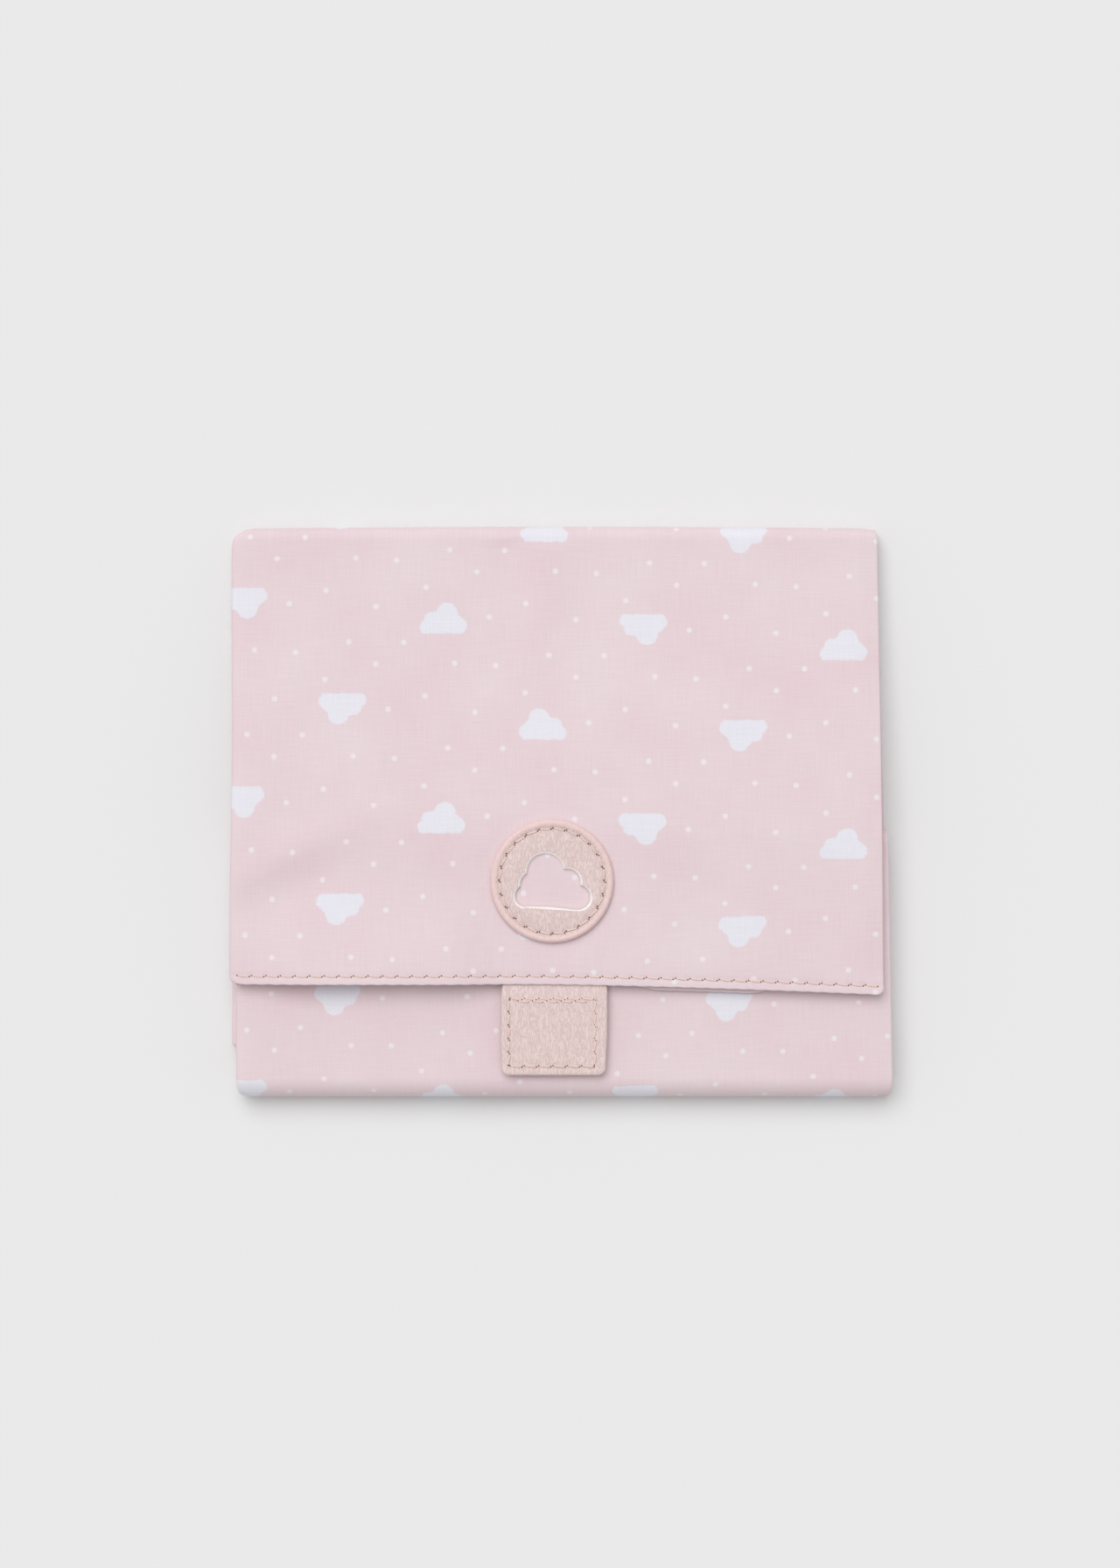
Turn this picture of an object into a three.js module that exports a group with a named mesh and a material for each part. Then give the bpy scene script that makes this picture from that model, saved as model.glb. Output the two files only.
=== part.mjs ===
// A travel changing pad, folded up and closed: a soft padded mat folded in half lengthways, then across in
// four panels, with a leatherette badge and a leatherette closing tab on its flap.
// Millimetres. +X runs to the right of the closed pad, +Y towards its top fold, +Z up from the table.
// The origin is the middle of the underside.
import * as THREE from "three";

// Cloth build-up of one half of the doubled mat, from the printed face inwards
const SHELL = 0.4;
const WADDING = 1.3;
const LINING = 0.25;
const PLY_GAP = 0.1;
const HALF = SHELL + PLY_GAP + WADDING + PLY_GAP + LINING + PLY_GAP / 2;
const PANEL = 2 * HALF;

// The four panels lie on one another in this order, with a little air between them
const PANEL_GAP = 0.5;
const BACK_Z = 0;
const END_Z = BACK_Z + PANEL + PANEL_GAP;
const FRONT_Z = END_Z + PANEL + PANEL_GAP;
const FLAP_LOW_Z = BACK_Z + PANEL + PANEL_GAP;
const FLAP_HIGH_Z = FRONT_Z + PANEL + PANEL_GAP;

// Closed outline
const HALF_LENGTH = 100.2;
const TOP_LEFT_X = -116;
const TOP_RIGHT_X = 111.3;
const BOTTOM_LEFT_X = -114.4;
const BOTTOM_RIGHT_X = 116.2;
const END_LEFT_X = -116.2;
const END_RIGHT_X = 114;
const END_HEM_Y = -83.9;
const FLAP_HEM_LEFT_Y = -60.7;
const FLAP_HEM_RIGHT_Y = -63.8;
const FRONT_TOP_Y = -5.2;
const FRONT_TOP_RIGHT_X = 114.6;
const RIDGE_Y = -8;

// Cross folds: outer radius and centre line of each turn
const TOP_FOLD_R = PANEL + PANEL_GAP / 2;
const INNER_FOLD_R = PANEL + PANEL_GAP / 2;
const BOTTOM_FOLD_R = (FRONT_Z + PANEL) / 2;
const TOP_FOLD_Y = HALF_LENGTH - TOP_FOLD_R;
const BOTTOM_FOLD_Y = BOTTOM_FOLD_R - HALF_LENGTH;
const INNER_FOLD_Y = FRONT_TOP_Y - INNER_FOLD_R;
const FOLD_JOIN = 0.1;

// Stitching
const THREAD_WIDTH = 0.6;
const THREAD_HEIGHT = 0.25;
const HEM_STITCH_INSET = 3.6;
const SEAM_END = 2.5;
const SEAM_ALLOWANCE = 8;
const REST_GAP = 0.05;

// Badge
const BADGE_X = -3.4;
const BADGE_Y = -24;
const BADGE_R = 21.6;
const BADGE_THICKNESS = 1.8;
const BADGE_STITCH_R = 18.4;
const WINDOW_BASE_Y = -9.9;
const WINDOW_LEFT = { x: -9.1, y: -4.9, r: 5.2 };
const WINDOW_TOP = { x: -2.2, y: 3.4, r: 6.9 };
const WINDOW_RIGHT = { x: 6.9, y: -3.2, r: 6.2 };

// Closing tab
const TAB_LEFT_X = -20.9;
const TAB_RIGHT_X = 15.9;
const TAB_END_Y = -92;
const TAB_ROOT_Y = -63.2;
const TAB_CORNER_R = 2.5;
const TAB_FACE = 1.1;
const TAB_BACKING = 0.7;
const TAB_STITCH = { left: -18.5, right: 11.65, top: -65.3, bottom: -88.8 };
const TAB_ANCHOR = { top: -55.2, bottom: -61, thickness: 0.9 };
const TAPE = { left: -15.5, right: 9.5, top: -68, bottom: -86.5 };
const LOOP_MARGIN = 2.5;
const LOOP_TAPE = 1;
const HOOK_TAPE = 1.1;
const TAPE_STITCH_INSET = 1.6;

// Steps along a draped panel, and round a full circle
const DRAPE_STEPS = 16;
const TURN_STEPS = 24;

const colours = {
  print: "#e5d0d5",
  wadding: "#f3f0ee",
  lining: "#f1ecec",
  leatherette: "#e2cfc8",
  backing: "#e6cfca",
  thread: "#cfae9c",
  hook: "#f0e6e4",
  loop: "#eddcdd",
};

const lerp = THREE.MathUtils.lerp;
const clamp01 = (t) => THREE.MathUtils.clamp(t, 0, 1);

/** The flap lies low beside its fold and climbs over the folded end of the front panel. */
function flapLift(y) {
  const t = clamp01((TOP_FOLD_Y - y) / (TOP_FOLD_Y - RIDGE_Y));
  const eased = 0.5 * t + 0.5 * t * t * (3 - 2 * t);
  return FLAP_LOW_Z + (FLAP_HIGH_Z - FLAP_LOW_Z) * eased;
}

const panels = {
  back: {
    topY: TOP_FOLD_Y,
    bottomY: [BOTTOM_FOLD_Y, BOTTOM_FOLD_Y],
    left: [TOP_LEFT_X, BOTTOM_LEFT_X],
    right: [TOP_RIGHT_X, BOTTOM_RIGHT_X],
    base: () => BACK_Z,
    steps: 1,
  },
  end: {
    topY: INNER_FOLD_Y,
    bottomY: [END_HEM_Y, END_HEM_Y],
    left: [END_LEFT_X, END_LEFT_X],
    right: [END_RIGHT_X, END_RIGHT_X],
    base: () => END_Z,
    steps: 1,
  },
  front: {
    topY: INNER_FOLD_Y,
    bottomY: [BOTTOM_FOLD_Y, BOTTOM_FOLD_Y],
    left: [BOTTOM_LEFT_X, BOTTOM_LEFT_X],
    right: [FRONT_TOP_RIGHT_X, BOTTOM_RIGHT_X],
    base: () => FRONT_Z,
    steps: 1,
  },
  flap: {
    topY: TOP_FOLD_Y,
    bottomY: [FLAP_HEM_LEFT_Y, FLAP_HEM_RIGHT_Y],
    left: [TOP_LEFT_X, TOP_LEFT_X],
    right: [TOP_RIGHT_X, TOP_RIGHT_X + 0.3],
    base: flapLift,
    steps: DRAPE_STEPS,
  },
};

function mesh(name, geometry, colour, roughness = 0.9) {
  const material = new THREE.MeshStandardMaterial({ color: colour, roughness, metalness: 0 });
  const made = new THREE.Mesh(geometry, material);
  made.name = name;
  return made;
}

/**
 * Lays a geometry on a panel. The geometry runs from y = 0 at the panel's top to y = -1 at its bottom;
 * acrossAt(x, left, right) gives a point's place across the panel, and z is its height in the panel.
 * The last row of points stops short of the panel's bottom by the trim.
 */
function layOnPanel(geometry, panel, trim, acrossAt) {
  const points = geometry.getAttribute("position");
  for (let i = 0; i < points.count; i++) {
    const down = -points.getY(i);
    const left = lerp(panel.left[0], panel.left[1], down);
    const right = lerp(panel.right[0], panel.right[1], down);
    const x = acrossAt(points.getX(i), left, right);
    const bottom = lerp(panel.bottomY[0], panel.bottomY[1], (x - left) / (right - left));
    const y = lerp(panel.topY - FOLD_JOIN, bottom, down) + (down > 0.999 ? trim : 0);
    points.setXYZ(i, x, y, points.getZ(i) + panel.base(y));
  }
  geometry.computeVertexNormals();
  return geometry;
}

/** One flat ply of a panel, from the turn at its left edge to its right edge. */
function ply(panel, low, high, trim) {
  const box = new THREE.BoxGeometry(1, 1, high - low, 1, panel.steps, 1);
  box.translate(0.5, -0.5, (low + high) / 2);
  return layOnPanel(box, panel, trim, (x, left, right) => lerp(left + HALF, right, x));
}

/** A half ring round the origin of the XY plane, opening away from +X when turned by 0. */
function halfRing(outer, inner, turn) {
  const shape = new THREE.Shape();
  const from = turn - Math.PI / 2;
  const to = turn + Math.PI / 2;
  shape.absarc(0, 0, outer, from, to, false);
  if (inner > 0) shape.absarc(0, 0, inner, to, from, true);
  shape.closePath();
  return shape;
}

/** The turned left edge of a panel, where the mat is folded in half lengthways. */
function sideTurn(panel, outer, inner, trim) {
  const section = new THREE.ExtrudeGeometry(halfRing(outer, inner, Math.PI), {
    depth: 1,
    steps: panel.steps,
    curveSegments: TURN_STEPS / 2,
    bevelEnabled: false,
  });
  section.rotateX(Math.PI / 2);
  section.translate(HALF - PLY_GAP, 0, HALF);
  return layOnPanel(section, panel, trim, (x, left) => left + PLY_GAP + x);
}

/** The plies of one panel and its turned left edge, from the floor side up. */
function panelPieces(name, panel, waddingTrim) {
  const shellTop = SHELL;
  const waddingLow = shellTop + PLY_GAP;
  const waddingTop = waddingLow + WADDING;
  const liningLow = waddingTop + PLY_GAP;
  const liningTop = liningLow + LINING;
  const up = (z) => PANEL - z;
  const turnR = HALF;
  return [
    mesh(`${name}_lower_shell`, ply(panel, 0, shellTop, 0), colours.print),
    mesh(`${name}_lower_wadding`, ply(panel, waddingLow, waddingTop, waddingTrim), colours.wadding),
    mesh(`${name}_lower_lining`, ply(panel, liningLow, liningTop, 0), colours.lining, 0.5),
    mesh(`${name}_upper_lining`, ply(panel, up(liningTop), up(liningLow), 0), colours.lining, 0.5),
    mesh(`${name}_upper_wadding`, ply(panel, up(waddingTop), up(waddingLow), waddingTrim), colours.wadding),
    mesh(`${name}_upper_shell`, ply(panel, up(shellTop), PANEL, 0), colours.print),
    mesh(`${name}_side_turn_shell`, sideTurn(panel, turnR, turnR - SHELL, 0), colours.print),
    mesh(`${name}_side_turn_wadding`, sideTurn(panel, turnR - waddingLow, 0, waddingTrim), colours.wadding),
  ];
}

/** A turn of the doubled mat across its width: printed face outside, padding, printed face inside. */
function crossFold(name, { y, z, outer, left, right, turn }) {
  const rings = [
    ["outer_shell", outer, outer - SHELL, colours.print],
    ["padding", outer - SHELL - PLY_GAP, outer - PANEL + SHELL + PLY_GAP, colours.wadding],
    ["inner_shell", outer - PANEL + SHELL, outer - PANEL, colours.print],
  ];
  const alongX = new THREE.Matrix4().makeBasis(
    new THREE.Vector3(0, 1, 0),
    new THREE.Vector3(0, 0, 1),
    new THREE.Vector3(1, 0, 0),
  );
  return rings.map(([ring, r, hole, colour]) => {
    const geometry = new THREE.ExtrudeGeometry(halfRing(r, hole, turn), {
      depth: right - left,
      steps: 1,
      curveSegments: TURN_STEPS / 2,
      bevelEnabled: false,
    });
    const piece = mesh(`${name}_${ring}`, geometry.applyMatrix4(alongX), colour);
    piece.position.set(left, y, z);
    return piece;
  });
}

/** A straight row of stitching as one bar between two points of a face at height z. */
function stitchRow(name, from, to, z) {
  const length = Math.hypot(to.x - from.x, to.y - from.y);
  const row = mesh(name, new THREE.BoxGeometry(length, THREAD_WIDTH, THREAD_HEIGHT), colours.thread, 0.7);
  row.position.set((from.x + to.x) / 2, (from.y + to.y) / 2, z + REST_GAP + THREAD_HEIGHT / 2);
  row.rotation.z = Math.atan2(to.y - from.y, to.x - from.x);
  return row;
}

function rectangle({ left, right, top, bottom }, Kind = THREE.Shape) {
  return new Kind()
    .moveTo(left, bottom)
    .lineTo(right, bottom)
    .lineTo(right, top)
    .lineTo(left, top)
    .closePath();
}

/** A rectangular ring of stitching lying on a face at height z. */
function stitchBox(name, box, z) {
  const grow = (d) => ({
    left: box.left - d,
    right: box.right + d,
    top: box.top + d,
    bottom: box.bottom - d,
  });
  const shape = rectangle(grow(THREAD_WIDTH / 2));
  shape.holes.push(rectangle(grow(-THREAD_WIDTH / 2), THREE.Path));
  return flatPiece(name, shape, z + REST_GAP, THREAD_HEIGHT, colours.thread, 0.7);
}

/** A flat piece cut to an outline, lying at height z. */
function flatPiece(name, shape, z, thickness, colour, roughness) {
  const geometry = new THREE.ExtrudeGeometry(shape, {
    depth: thickness,
    curveSegments: TURN_STEPS,
    bevelEnabled: false,
  });
  const piece = mesh(name, geometry, colour, roughness);
  piece.position.z = z;
  return piece;
}

/** Where two circles cross, on the upper side. */
function upperCrossing(a, b) {
  const apart = Math.hypot(b.x - a.x, b.y - a.y);
  const along = (a.r * a.r - b.r * b.r + apart * apart) / (2 * apart);
  const aside = Math.sqrt(a.r * a.r - along * along);
  const ux = (b.x - a.x) / apart;
  const uy = (b.y - a.y) / apart;
  return { x: a.x + along * ux - aside * uy, y: a.y + along * uy + aside * ux };
}

/** A cloud with a flat base: three round bumps joined over a straight line. */
function cloudWindow() {
  const hole = new THREE.Path();
  const angleTo = (circle, point) => Math.atan2(point.y - circle.y, point.x - circle.x);
  const baseAngle = (circle, side) => {
    const drop = Math.max(WINDOW_BASE_Y - circle.y, -circle.r);
    const low = Math.asin(drop / circle.r);
    return side > 0 ? low : Math.PI - low;
  };
  const leftTop = upperCrossing(WINDOW_LEFT, WINDOW_TOP);
  const topRight = upperCrossing(WINDOW_TOP, WINDOW_RIGHT);
  const bump = (circle, from, to) => hole.absarc(circle.x, circle.y, circle.r, from, to, true);
  const turnBack = (angle) => (angle < 0 ? angle + 2 * Math.PI : angle);
  bump(WINDOW_LEFT, baseAngle(WINDOW_LEFT, -1), turnBack(angleTo(WINDOW_LEFT, leftTop)));
  bump(WINDOW_TOP, turnBack(angleTo(WINDOW_TOP, leftTop)), angleTo(WINDOW_TOP, topRight));
  bump(WINDOW_RIGHT, angleTo(WINDOW_RIGHT, topRight), baseAngle(WINDOW_RIGHT, 1));
  hole.closePath();
  return hole;
}

function badgePieces() {
  const disc = new THREE.Shape().absarc(0, 0, BADGE_R, 0, 2 * Math.PI, false);
  disc.holes.push(cloudWindow());
  const ring = new THREE.Shape().absarc(0, 0, BADGE_STITCH_R + THREAD_WIDTH / 2, 0, 2 * Math.PI, false);
  ring.holes.push(new THREE.Path().absarc(0, 0, BADGE_STITCH_R - THREAD_WIDTH / 2, 0, 2 * Math.PI, true));
  const discZ = FLAP_HIGH_Z + PANEL + REST_GAP;
  const ringZ = discZ + BADGE_THICKNESS + REST_GAP;
  const pieces = [
    flatPiece("badge_disc", disc, discZ, BADGE_THICKNESS, colours.leatherette, 0.6),
    flatPiece("badge_stitching", ring, ringZ, THREAD_HEIGHT, colours.thread, 0.7),
  ];
  for (const piece of pieces) piece.position.setX(BADGE_X).setY(BADGE_Y);
  return pieces;
}

/** The tab's outline: square where it leaves the hem, with two round corners at its free end. */
function tabOutline() {
  const r = TAB_CORNER_R;
  return new THREE.Shape()
    .moveTo(TAB_LEFT_X, TAB_ROOT_Y)
    .lineTo(TAB_LEFT_X, TAB_END_Y + r)
    .absarc(TAB_LEFT_X + r, TAB_END_Y + r, r, Math.PI, 1.5 * Math.PI, false)
    .lineTo(TAB_RIGHT_X - r, TAB_END_Y)
    .absarc(TAB_RIGHT_X - r, TAB_END_Y + r, r, 1.5 * Math.PI, 2 * Math.PI, false)
    .lineTo(TAB_RIGHT_X, TAB_ROOT_Y)
    .closePath();
}

const loopZ = FRONT_Z + PANEL + REST_GAP;
const hookZ = loopZ + LOOP_TAPE + PLY_GAP;
const tabBackingZ = hookZ + HOOK_TAPE + REST_GAP;
const tabFaceZ = tabBackingZ + TAB_BACKING + REST_GAP;

function tabPieces() {
  return [
    flatPiece("tab_face", tabOutline(), tabFaceZ, TAB_FACE, colours.leatherette, 0.6),
    flatPiece("tab_backing", tabOutline(), tabBackingZ, TAB_BACKING, colours.backing, 0.7),
    flatPiece("tab_hook_tape", rectangle(TAPE), hookZ, HOOK_TAPE, colours.hook, 0.9),
    stitchBox("tab_stitching", TAB_STITCH, tabFaceZ + TAB_FACE),
  ];
}

/** The tab's sewn-in end, held between the flap's upper shell and lining in the hem seam. */
function tabAnchor() {
  const box = { left: TAB_LEFT_X, right: TAB_RIGHT_X, top: TAB_ANCHOR.top, bottom: TAB_ANCHOR.bottom };
  const z = FLAP_HIGH_Z + PANEL - SHELL - (WADDING + TAB_ANCHOR.thickness) / 2 - PLY_GAP;
  return flatPiece("tab_sewn_in_end", rectangle(box), z, TAB_ANCHOR.thickness, colours.leatherette, 0.7);
}

/** The soft half of the closure, sewn on the outside of the front panel round the hook tape's place. */
function loopPieces() {
  const box = {
    left: TAPE.left - LOOP_MARGIN,
    right: TAPE.right + LOOP_MARGIN,
    top: TAPE.top + LOOP_MARGIN,
    bottom: TAPE.bottom - LOOP_MARGIN,
  };
  const seam = {
    left: box.left + TAPE_STITCH_INSET,
    right: box.right - TAPE_STITCH_INSET,
    top: box.top - TAPE_STITCH_INSET,
    bottom: box.bottom + TAPE_STITCH_INSET,
  };
  return [
    flatPiece("front_loop_tape", rectangle(box), loopZ, LOOP_TAPE, colours.loop, 0.95),
    stitchBox("front_loop_tape_stitching", seam, loopZ + LOOP_TAPE),
  ];
}

function seamEnds(panel, inset) {
  const from = { x: panel.left[1] + SEAM_END, y: panel.bottomY[0] + inset };
  const to = { x: panel.right[1] - SEAM_END, y: panel.bottomY[1] + inset };
  return [from, to];
}

function body(name, pieces) {
  const group = new THREE.Group();
  group.name = name;
  group.add(...pieces);
  return group;
}

const back = body("back", [
  ...panelPieces("back", panels.back, 0),
  ...crossFold("top_fold", {
    y: TOP_FOLD_Y,
    z: TOP_FOLD_R,
    outer: TOP_FOLD_R,
    left: TOP_LEFT_X,
    right: TOP_RIGHT_X,
    turn: 0,
  }),
  ...crossFold("bottom_fold", {
    y: BOTTOM_FOLD_Y,
    z: BOTTOM_FOLD_R,
    outer: BOTTOM_FOLD_R,
    left: BOTTOM_LEFT_X,
    right: BOTTOM_RIGHT_X,
    turn: Math.PI,
  }),
]);

const front = body("front", [
  ...panelPieces("front", panels.front, 0),
  ...panelPieces("end", panels.end, SEAM_ALLOWANCE),
  ...crossFold("inner_fold", {
    y: INNER_FOLD_Y,
    z: END_Z + INNER_FOLD_R,
    outer: INNER_FOLD_R,
    left: BOTTOM_LEFT_X,
    right: END_RIGHT_X,
    turn: 0,
  }),
  stitchRow("end_hem_stitching", ...seamEnds(panels.end, HEM_STITCH_INSET), END_Z + PANEL),
  ...loopPieces(),
]);

const flap = body("flap", [
  ...panelPieces("flap", panels.flap, SEAM_ALLOWANCE),
  stitchRow("flap_hem_stitching", ...seamEnds(panels.flap, HEM_STITCH_INSET), FLAP_HIGH_Z + PANEL),
  tabAnchor(),
  ...badgePieces(),
]);

const tab = body("tab", tabPieces());

const pad = new THREE.Group();
pad.name = "changing_pad";
pad.add(back, front, flap, tab);

export default pad;
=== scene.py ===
"""A travel changing pad, folded and closed: a soft printed mat with a badge and a closing tab.

Sizes are in millimetres until a mesh is written, which turns them to metres. +X runs to the right of the
closed pad, +Y to its top fold and +Z up from the table.
"""

import logging
import math
from dataclasses import dataclass, field
from enum import Enum

import bmesh
import bpy
import numpy as np
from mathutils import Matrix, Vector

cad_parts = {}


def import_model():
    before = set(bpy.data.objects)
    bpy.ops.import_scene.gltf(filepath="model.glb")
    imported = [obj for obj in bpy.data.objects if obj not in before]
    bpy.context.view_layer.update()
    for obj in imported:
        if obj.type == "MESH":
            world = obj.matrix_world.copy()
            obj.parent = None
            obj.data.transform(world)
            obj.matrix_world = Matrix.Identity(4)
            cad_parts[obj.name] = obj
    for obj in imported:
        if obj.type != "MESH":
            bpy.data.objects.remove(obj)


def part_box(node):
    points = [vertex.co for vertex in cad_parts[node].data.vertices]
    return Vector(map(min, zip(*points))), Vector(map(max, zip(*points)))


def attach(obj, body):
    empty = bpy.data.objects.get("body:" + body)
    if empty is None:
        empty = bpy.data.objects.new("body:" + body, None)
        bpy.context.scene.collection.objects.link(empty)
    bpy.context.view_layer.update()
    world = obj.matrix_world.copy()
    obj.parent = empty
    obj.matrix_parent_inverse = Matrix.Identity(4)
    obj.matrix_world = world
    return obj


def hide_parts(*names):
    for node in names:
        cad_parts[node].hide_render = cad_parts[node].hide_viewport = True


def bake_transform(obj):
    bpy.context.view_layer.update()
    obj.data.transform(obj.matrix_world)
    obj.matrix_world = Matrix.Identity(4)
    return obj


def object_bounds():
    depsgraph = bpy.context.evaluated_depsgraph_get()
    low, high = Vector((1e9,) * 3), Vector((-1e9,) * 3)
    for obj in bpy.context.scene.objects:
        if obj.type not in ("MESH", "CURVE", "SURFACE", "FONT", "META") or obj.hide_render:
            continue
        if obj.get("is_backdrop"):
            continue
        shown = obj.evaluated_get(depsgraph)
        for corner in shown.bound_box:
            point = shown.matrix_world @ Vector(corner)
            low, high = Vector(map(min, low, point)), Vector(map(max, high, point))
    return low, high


LOG = logging.getLogger("changing_pad")
MM = 0.001
TAU = 2 * math.pi
PRINT_LAYER = "print"
FAR = 99.0  # a distance past every seam's reach, in millimetres
STITCH_GAP = 0.02  # the share of a stitch's length left free at each needle hole
COLOUR_SOCKETS = (None,) * 5  # a mix node's five unused sockets, between its share and its two colours


# ---------------------------------------------------------------- colour, meshes and nodes


def linear(code: str) -> tuple[float, float, float, float]:
    """Turns an sRGB hex colour into linear light.

    Args:
        code: a colour such as "#e2cfc8".

    Returns:
        Red, green, blue and a full alpha.
    """
    parts = [int(code[i : i + 2], 16) / 255 for i in (1, 3, 5)]
    red, green, blue = (p / 12.92 if p <= 0.04045 else ((p + 0.055) / 1.055) ** 2.4 for p in parts)
    return red, green, blue, 1.0


def smooth(low: float, high: float, value: np.ndarray) -> np.ndarray:
    """Rises from 0 at low to 1 at high, level at both ends: 3t^2 - 2t^3."""
    t = np.clip((value - low) / (high - low), 0, 1)
    return t * t * (3 - 2 * t)


def bell(distance: np.ndarray, width: float) -> np.ndarray:
    """A bell of height 1 whose value falls to 0.61 at one width from its middle."""
    return np.exp(-0.5 * (distance / width) ** 2)


@dataclass
class Skin:
    """The points, print places and faces of one mesh, gathered from grids.

    Attributes:
        name: the object's name.
        points: vertex places, in millimetres.
        quads: four vertex numbers a row.
        quad_uv: the four print places of each quad.
        quad_finish: the material number of each quad.
        normals: shading directions of the vertices, where they are given.
        caps: many-sided end faces, as rings of vertex numbers.
        count: how many vertices there are so far.
    """

    name: str
    points: list[np.ndarray] = field(default_factory=list)
    quads: list[np.ndarray] = field(default_factory=list)
    quad_uv: list[np.ndarray] = field(default_factory=list)
    quad_finish: list[np.ndarray] = field(default_factory=list)
    normals: list[np.ndarray] = field(default_factory=list)
    caps: list[np.ndarray] = field(default_factory=list)
    count: int = 0

    def grid(
        self,
        points: np.ndarray,
        uv: np.ndarray,
        finish: np.ndarray | int = 0,
        normals: np.ndarray | None = None,
        caps: list[np.ndarray] | None = None,
    ) -> None:
        """Adds a tube: a grid whose rows are closed rings, with a face on each end.

        Args:
            points: rows x ring x 3 places.
            uv: rows x (ring + 1) x 2 print places, the last column closing the ring.
            finish: the material number, or one for each step round the ring.
            normals: rows x ring x 3 directions, where the shading comes from a wider surface.
            caps: the faces that close each end, as places round the ring; one face if not given.
        """
        rows, ring = points.shape[:2]
        caps = [np.arange(ring)] if caps is None else caps
        number = self.count + np.arange(rows * ring).reshape(rows, ring)
        turned = np.roll(number, -1, axis=1)
        quads = np.stack([number[:-1], turned[:-1], turned[1:], number[1:]], axis=-1)
        places = np.stack([uv[:-1, :-1], uv[:-1, 1:], uv[1:, 1:], uv[1:, :-1]], axis=2)
        self.points.append(points.reshape(-1, 3))
        self.quads.append(quads.reshape(-1, 4))
        self.quad_uv.append(places.reshape(-1, 4, 2))
        self.quad_finish.append(np.broadcast_to(finish, (rows - 1, ring)).reshape(-1))
        if normals is not None:
            self.normals.append(normals.reshape(-1, 3))
        for face in caps:
            self.caps += [number[0][face][::-1], number[-1][face]]
        self.count += rows * ring

    def make(self, finishes: list[bpy.types.Material]) -> bpy.types.Object:
        """Writes the gathered grids into one object at the origin, in metres.

        Args:
            finishes: the materials, in the order of the material numbers.

        Returns:
            The new object.
        """
        points = np.concatenate(self.points)
        quads = np.concatenate(self.quads)
        cap_corners = np.concatenate(self.caps) if self.caps else np.zeros(0, int)
        corners = np.concatenate([quads.reshape(-1), cap_corners])
        sizes = np.concatenate([np.full(len(quads), 4), [len(c) for c in self.caps]]).astype(int)
        mesh = bpy.data.meshes.new(self.name)
        mesh.vertices.add(len(points))
        mesh.vertices.foreach_set("co", (points * MM).astype(np.float32).ravel())
        mesh.loops.add(len(corners))
        mesh.loops.foreach_set("vertex_index", corners.astype(np.int32))
        mesh.polygons.add(len(sizes))
        starts = np.concatenate([[0], np.cumsum(sizes)[:-1]])
        mesh.polygons.foreach_set("loop_start", starts.astype(np.int32))
        numbers = np.concatenate([np.concatenate(self.quad_finish), np.zeros(len(self.caps), int)])
        mesh.polygons.foreach_set("material_index", numbers.astype(np.int32))
        mesh.polygons.foreach_set("use_smooth", np.arange(len(sizes)) < len(quads))
        quad_uv = np.concatenate(self.quad_uv).reshape(-1, 2)
        uv = np.concatenate([quad_uv, np.zeros((len(cap_corners), 2))])
        layer = mesh.uv_layers.new(name=PRINT_LAYER)
        layer.uv.foreach_set("vector", uv.astype(np.float32).ravel())
        for finish in finishes:
            mesh.materials.append(finish)
        mesh.update(calc_edges=True)
        mesh.validate()
        if self.normals:
            shading = np.concatenate(self.normals)[corners]
            flat = np.zeros((len(mesh.polygons), 3), np.float32)
            mesh.polygons.foreach_get("normal", flat.ravel())
            shading[len(quads) * 4 :] = np.repeat(flat[len(quads) :], sizes[len(quads) :], axis=0)
            mesh.normals_split_custom_set(shading)
        made = bpy.data.objects.new(self.name, mesh)
        bpy.context.scene.collection.objects.link(made)
        return made


Socket = bpy.types.NodeSocket


def add(tree: bpy.types.NodeTree, kind: str, *inputs: object, out: int = 0, **settings: object) -> Socket:
    """Adds a node, fills and links its sockets and sets its options.

    Args:
        tree: the material's node tree.
        kind: the node's type.
        inputs: for each socket in turn, a socket to link, a value, or None to leave it.
        out: which of the node's outputs to give back.
        settings: options by name; a name starting "in_" is a socket by its own name.

    Returns:
        The output that was asked for.
    """
    node = tree.nodes.new(kind)
    sockets = {}
    for name, value in settings.items():
        if name.startswith("in_"):
            sockets[name[3:].replace("_", " ")] = value
        else:
            setattr(node, name, value)
    pairs = [*zip(node.inputs, inputs), *((node.inputs[name], value) for name, value in sockets.items())]
    for socket, value in pairs:
        if isinstance(value, Socket):
            tree.links.new(value, socket)
        elif value is not None:
            socket.default_value = value
    return node.outputs[out]


# ---------------------------------------------------------------- finishes


def new_material(name: str) -> tuple[bpy.types.Material, bpy.types.NodeTree, bpy.types.Node]:
    """Makes an empty material with one surface shader, and gives it back with its tree and shader."""
    made = bpy.data.materials.new(name)
    made.use_nodes = True
    tree = made.node_tree
    tree.nodes.clear()
    output = tree.nodes.new("ShaderNodeOutputMaterial")
    shader = tree.nodes.new("ShaderNodeBsdfPrincipled")
    tree.links.new(shader.outputs["BSDF"], output.inputs["Surface"])
    return made, tree, shader


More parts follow.
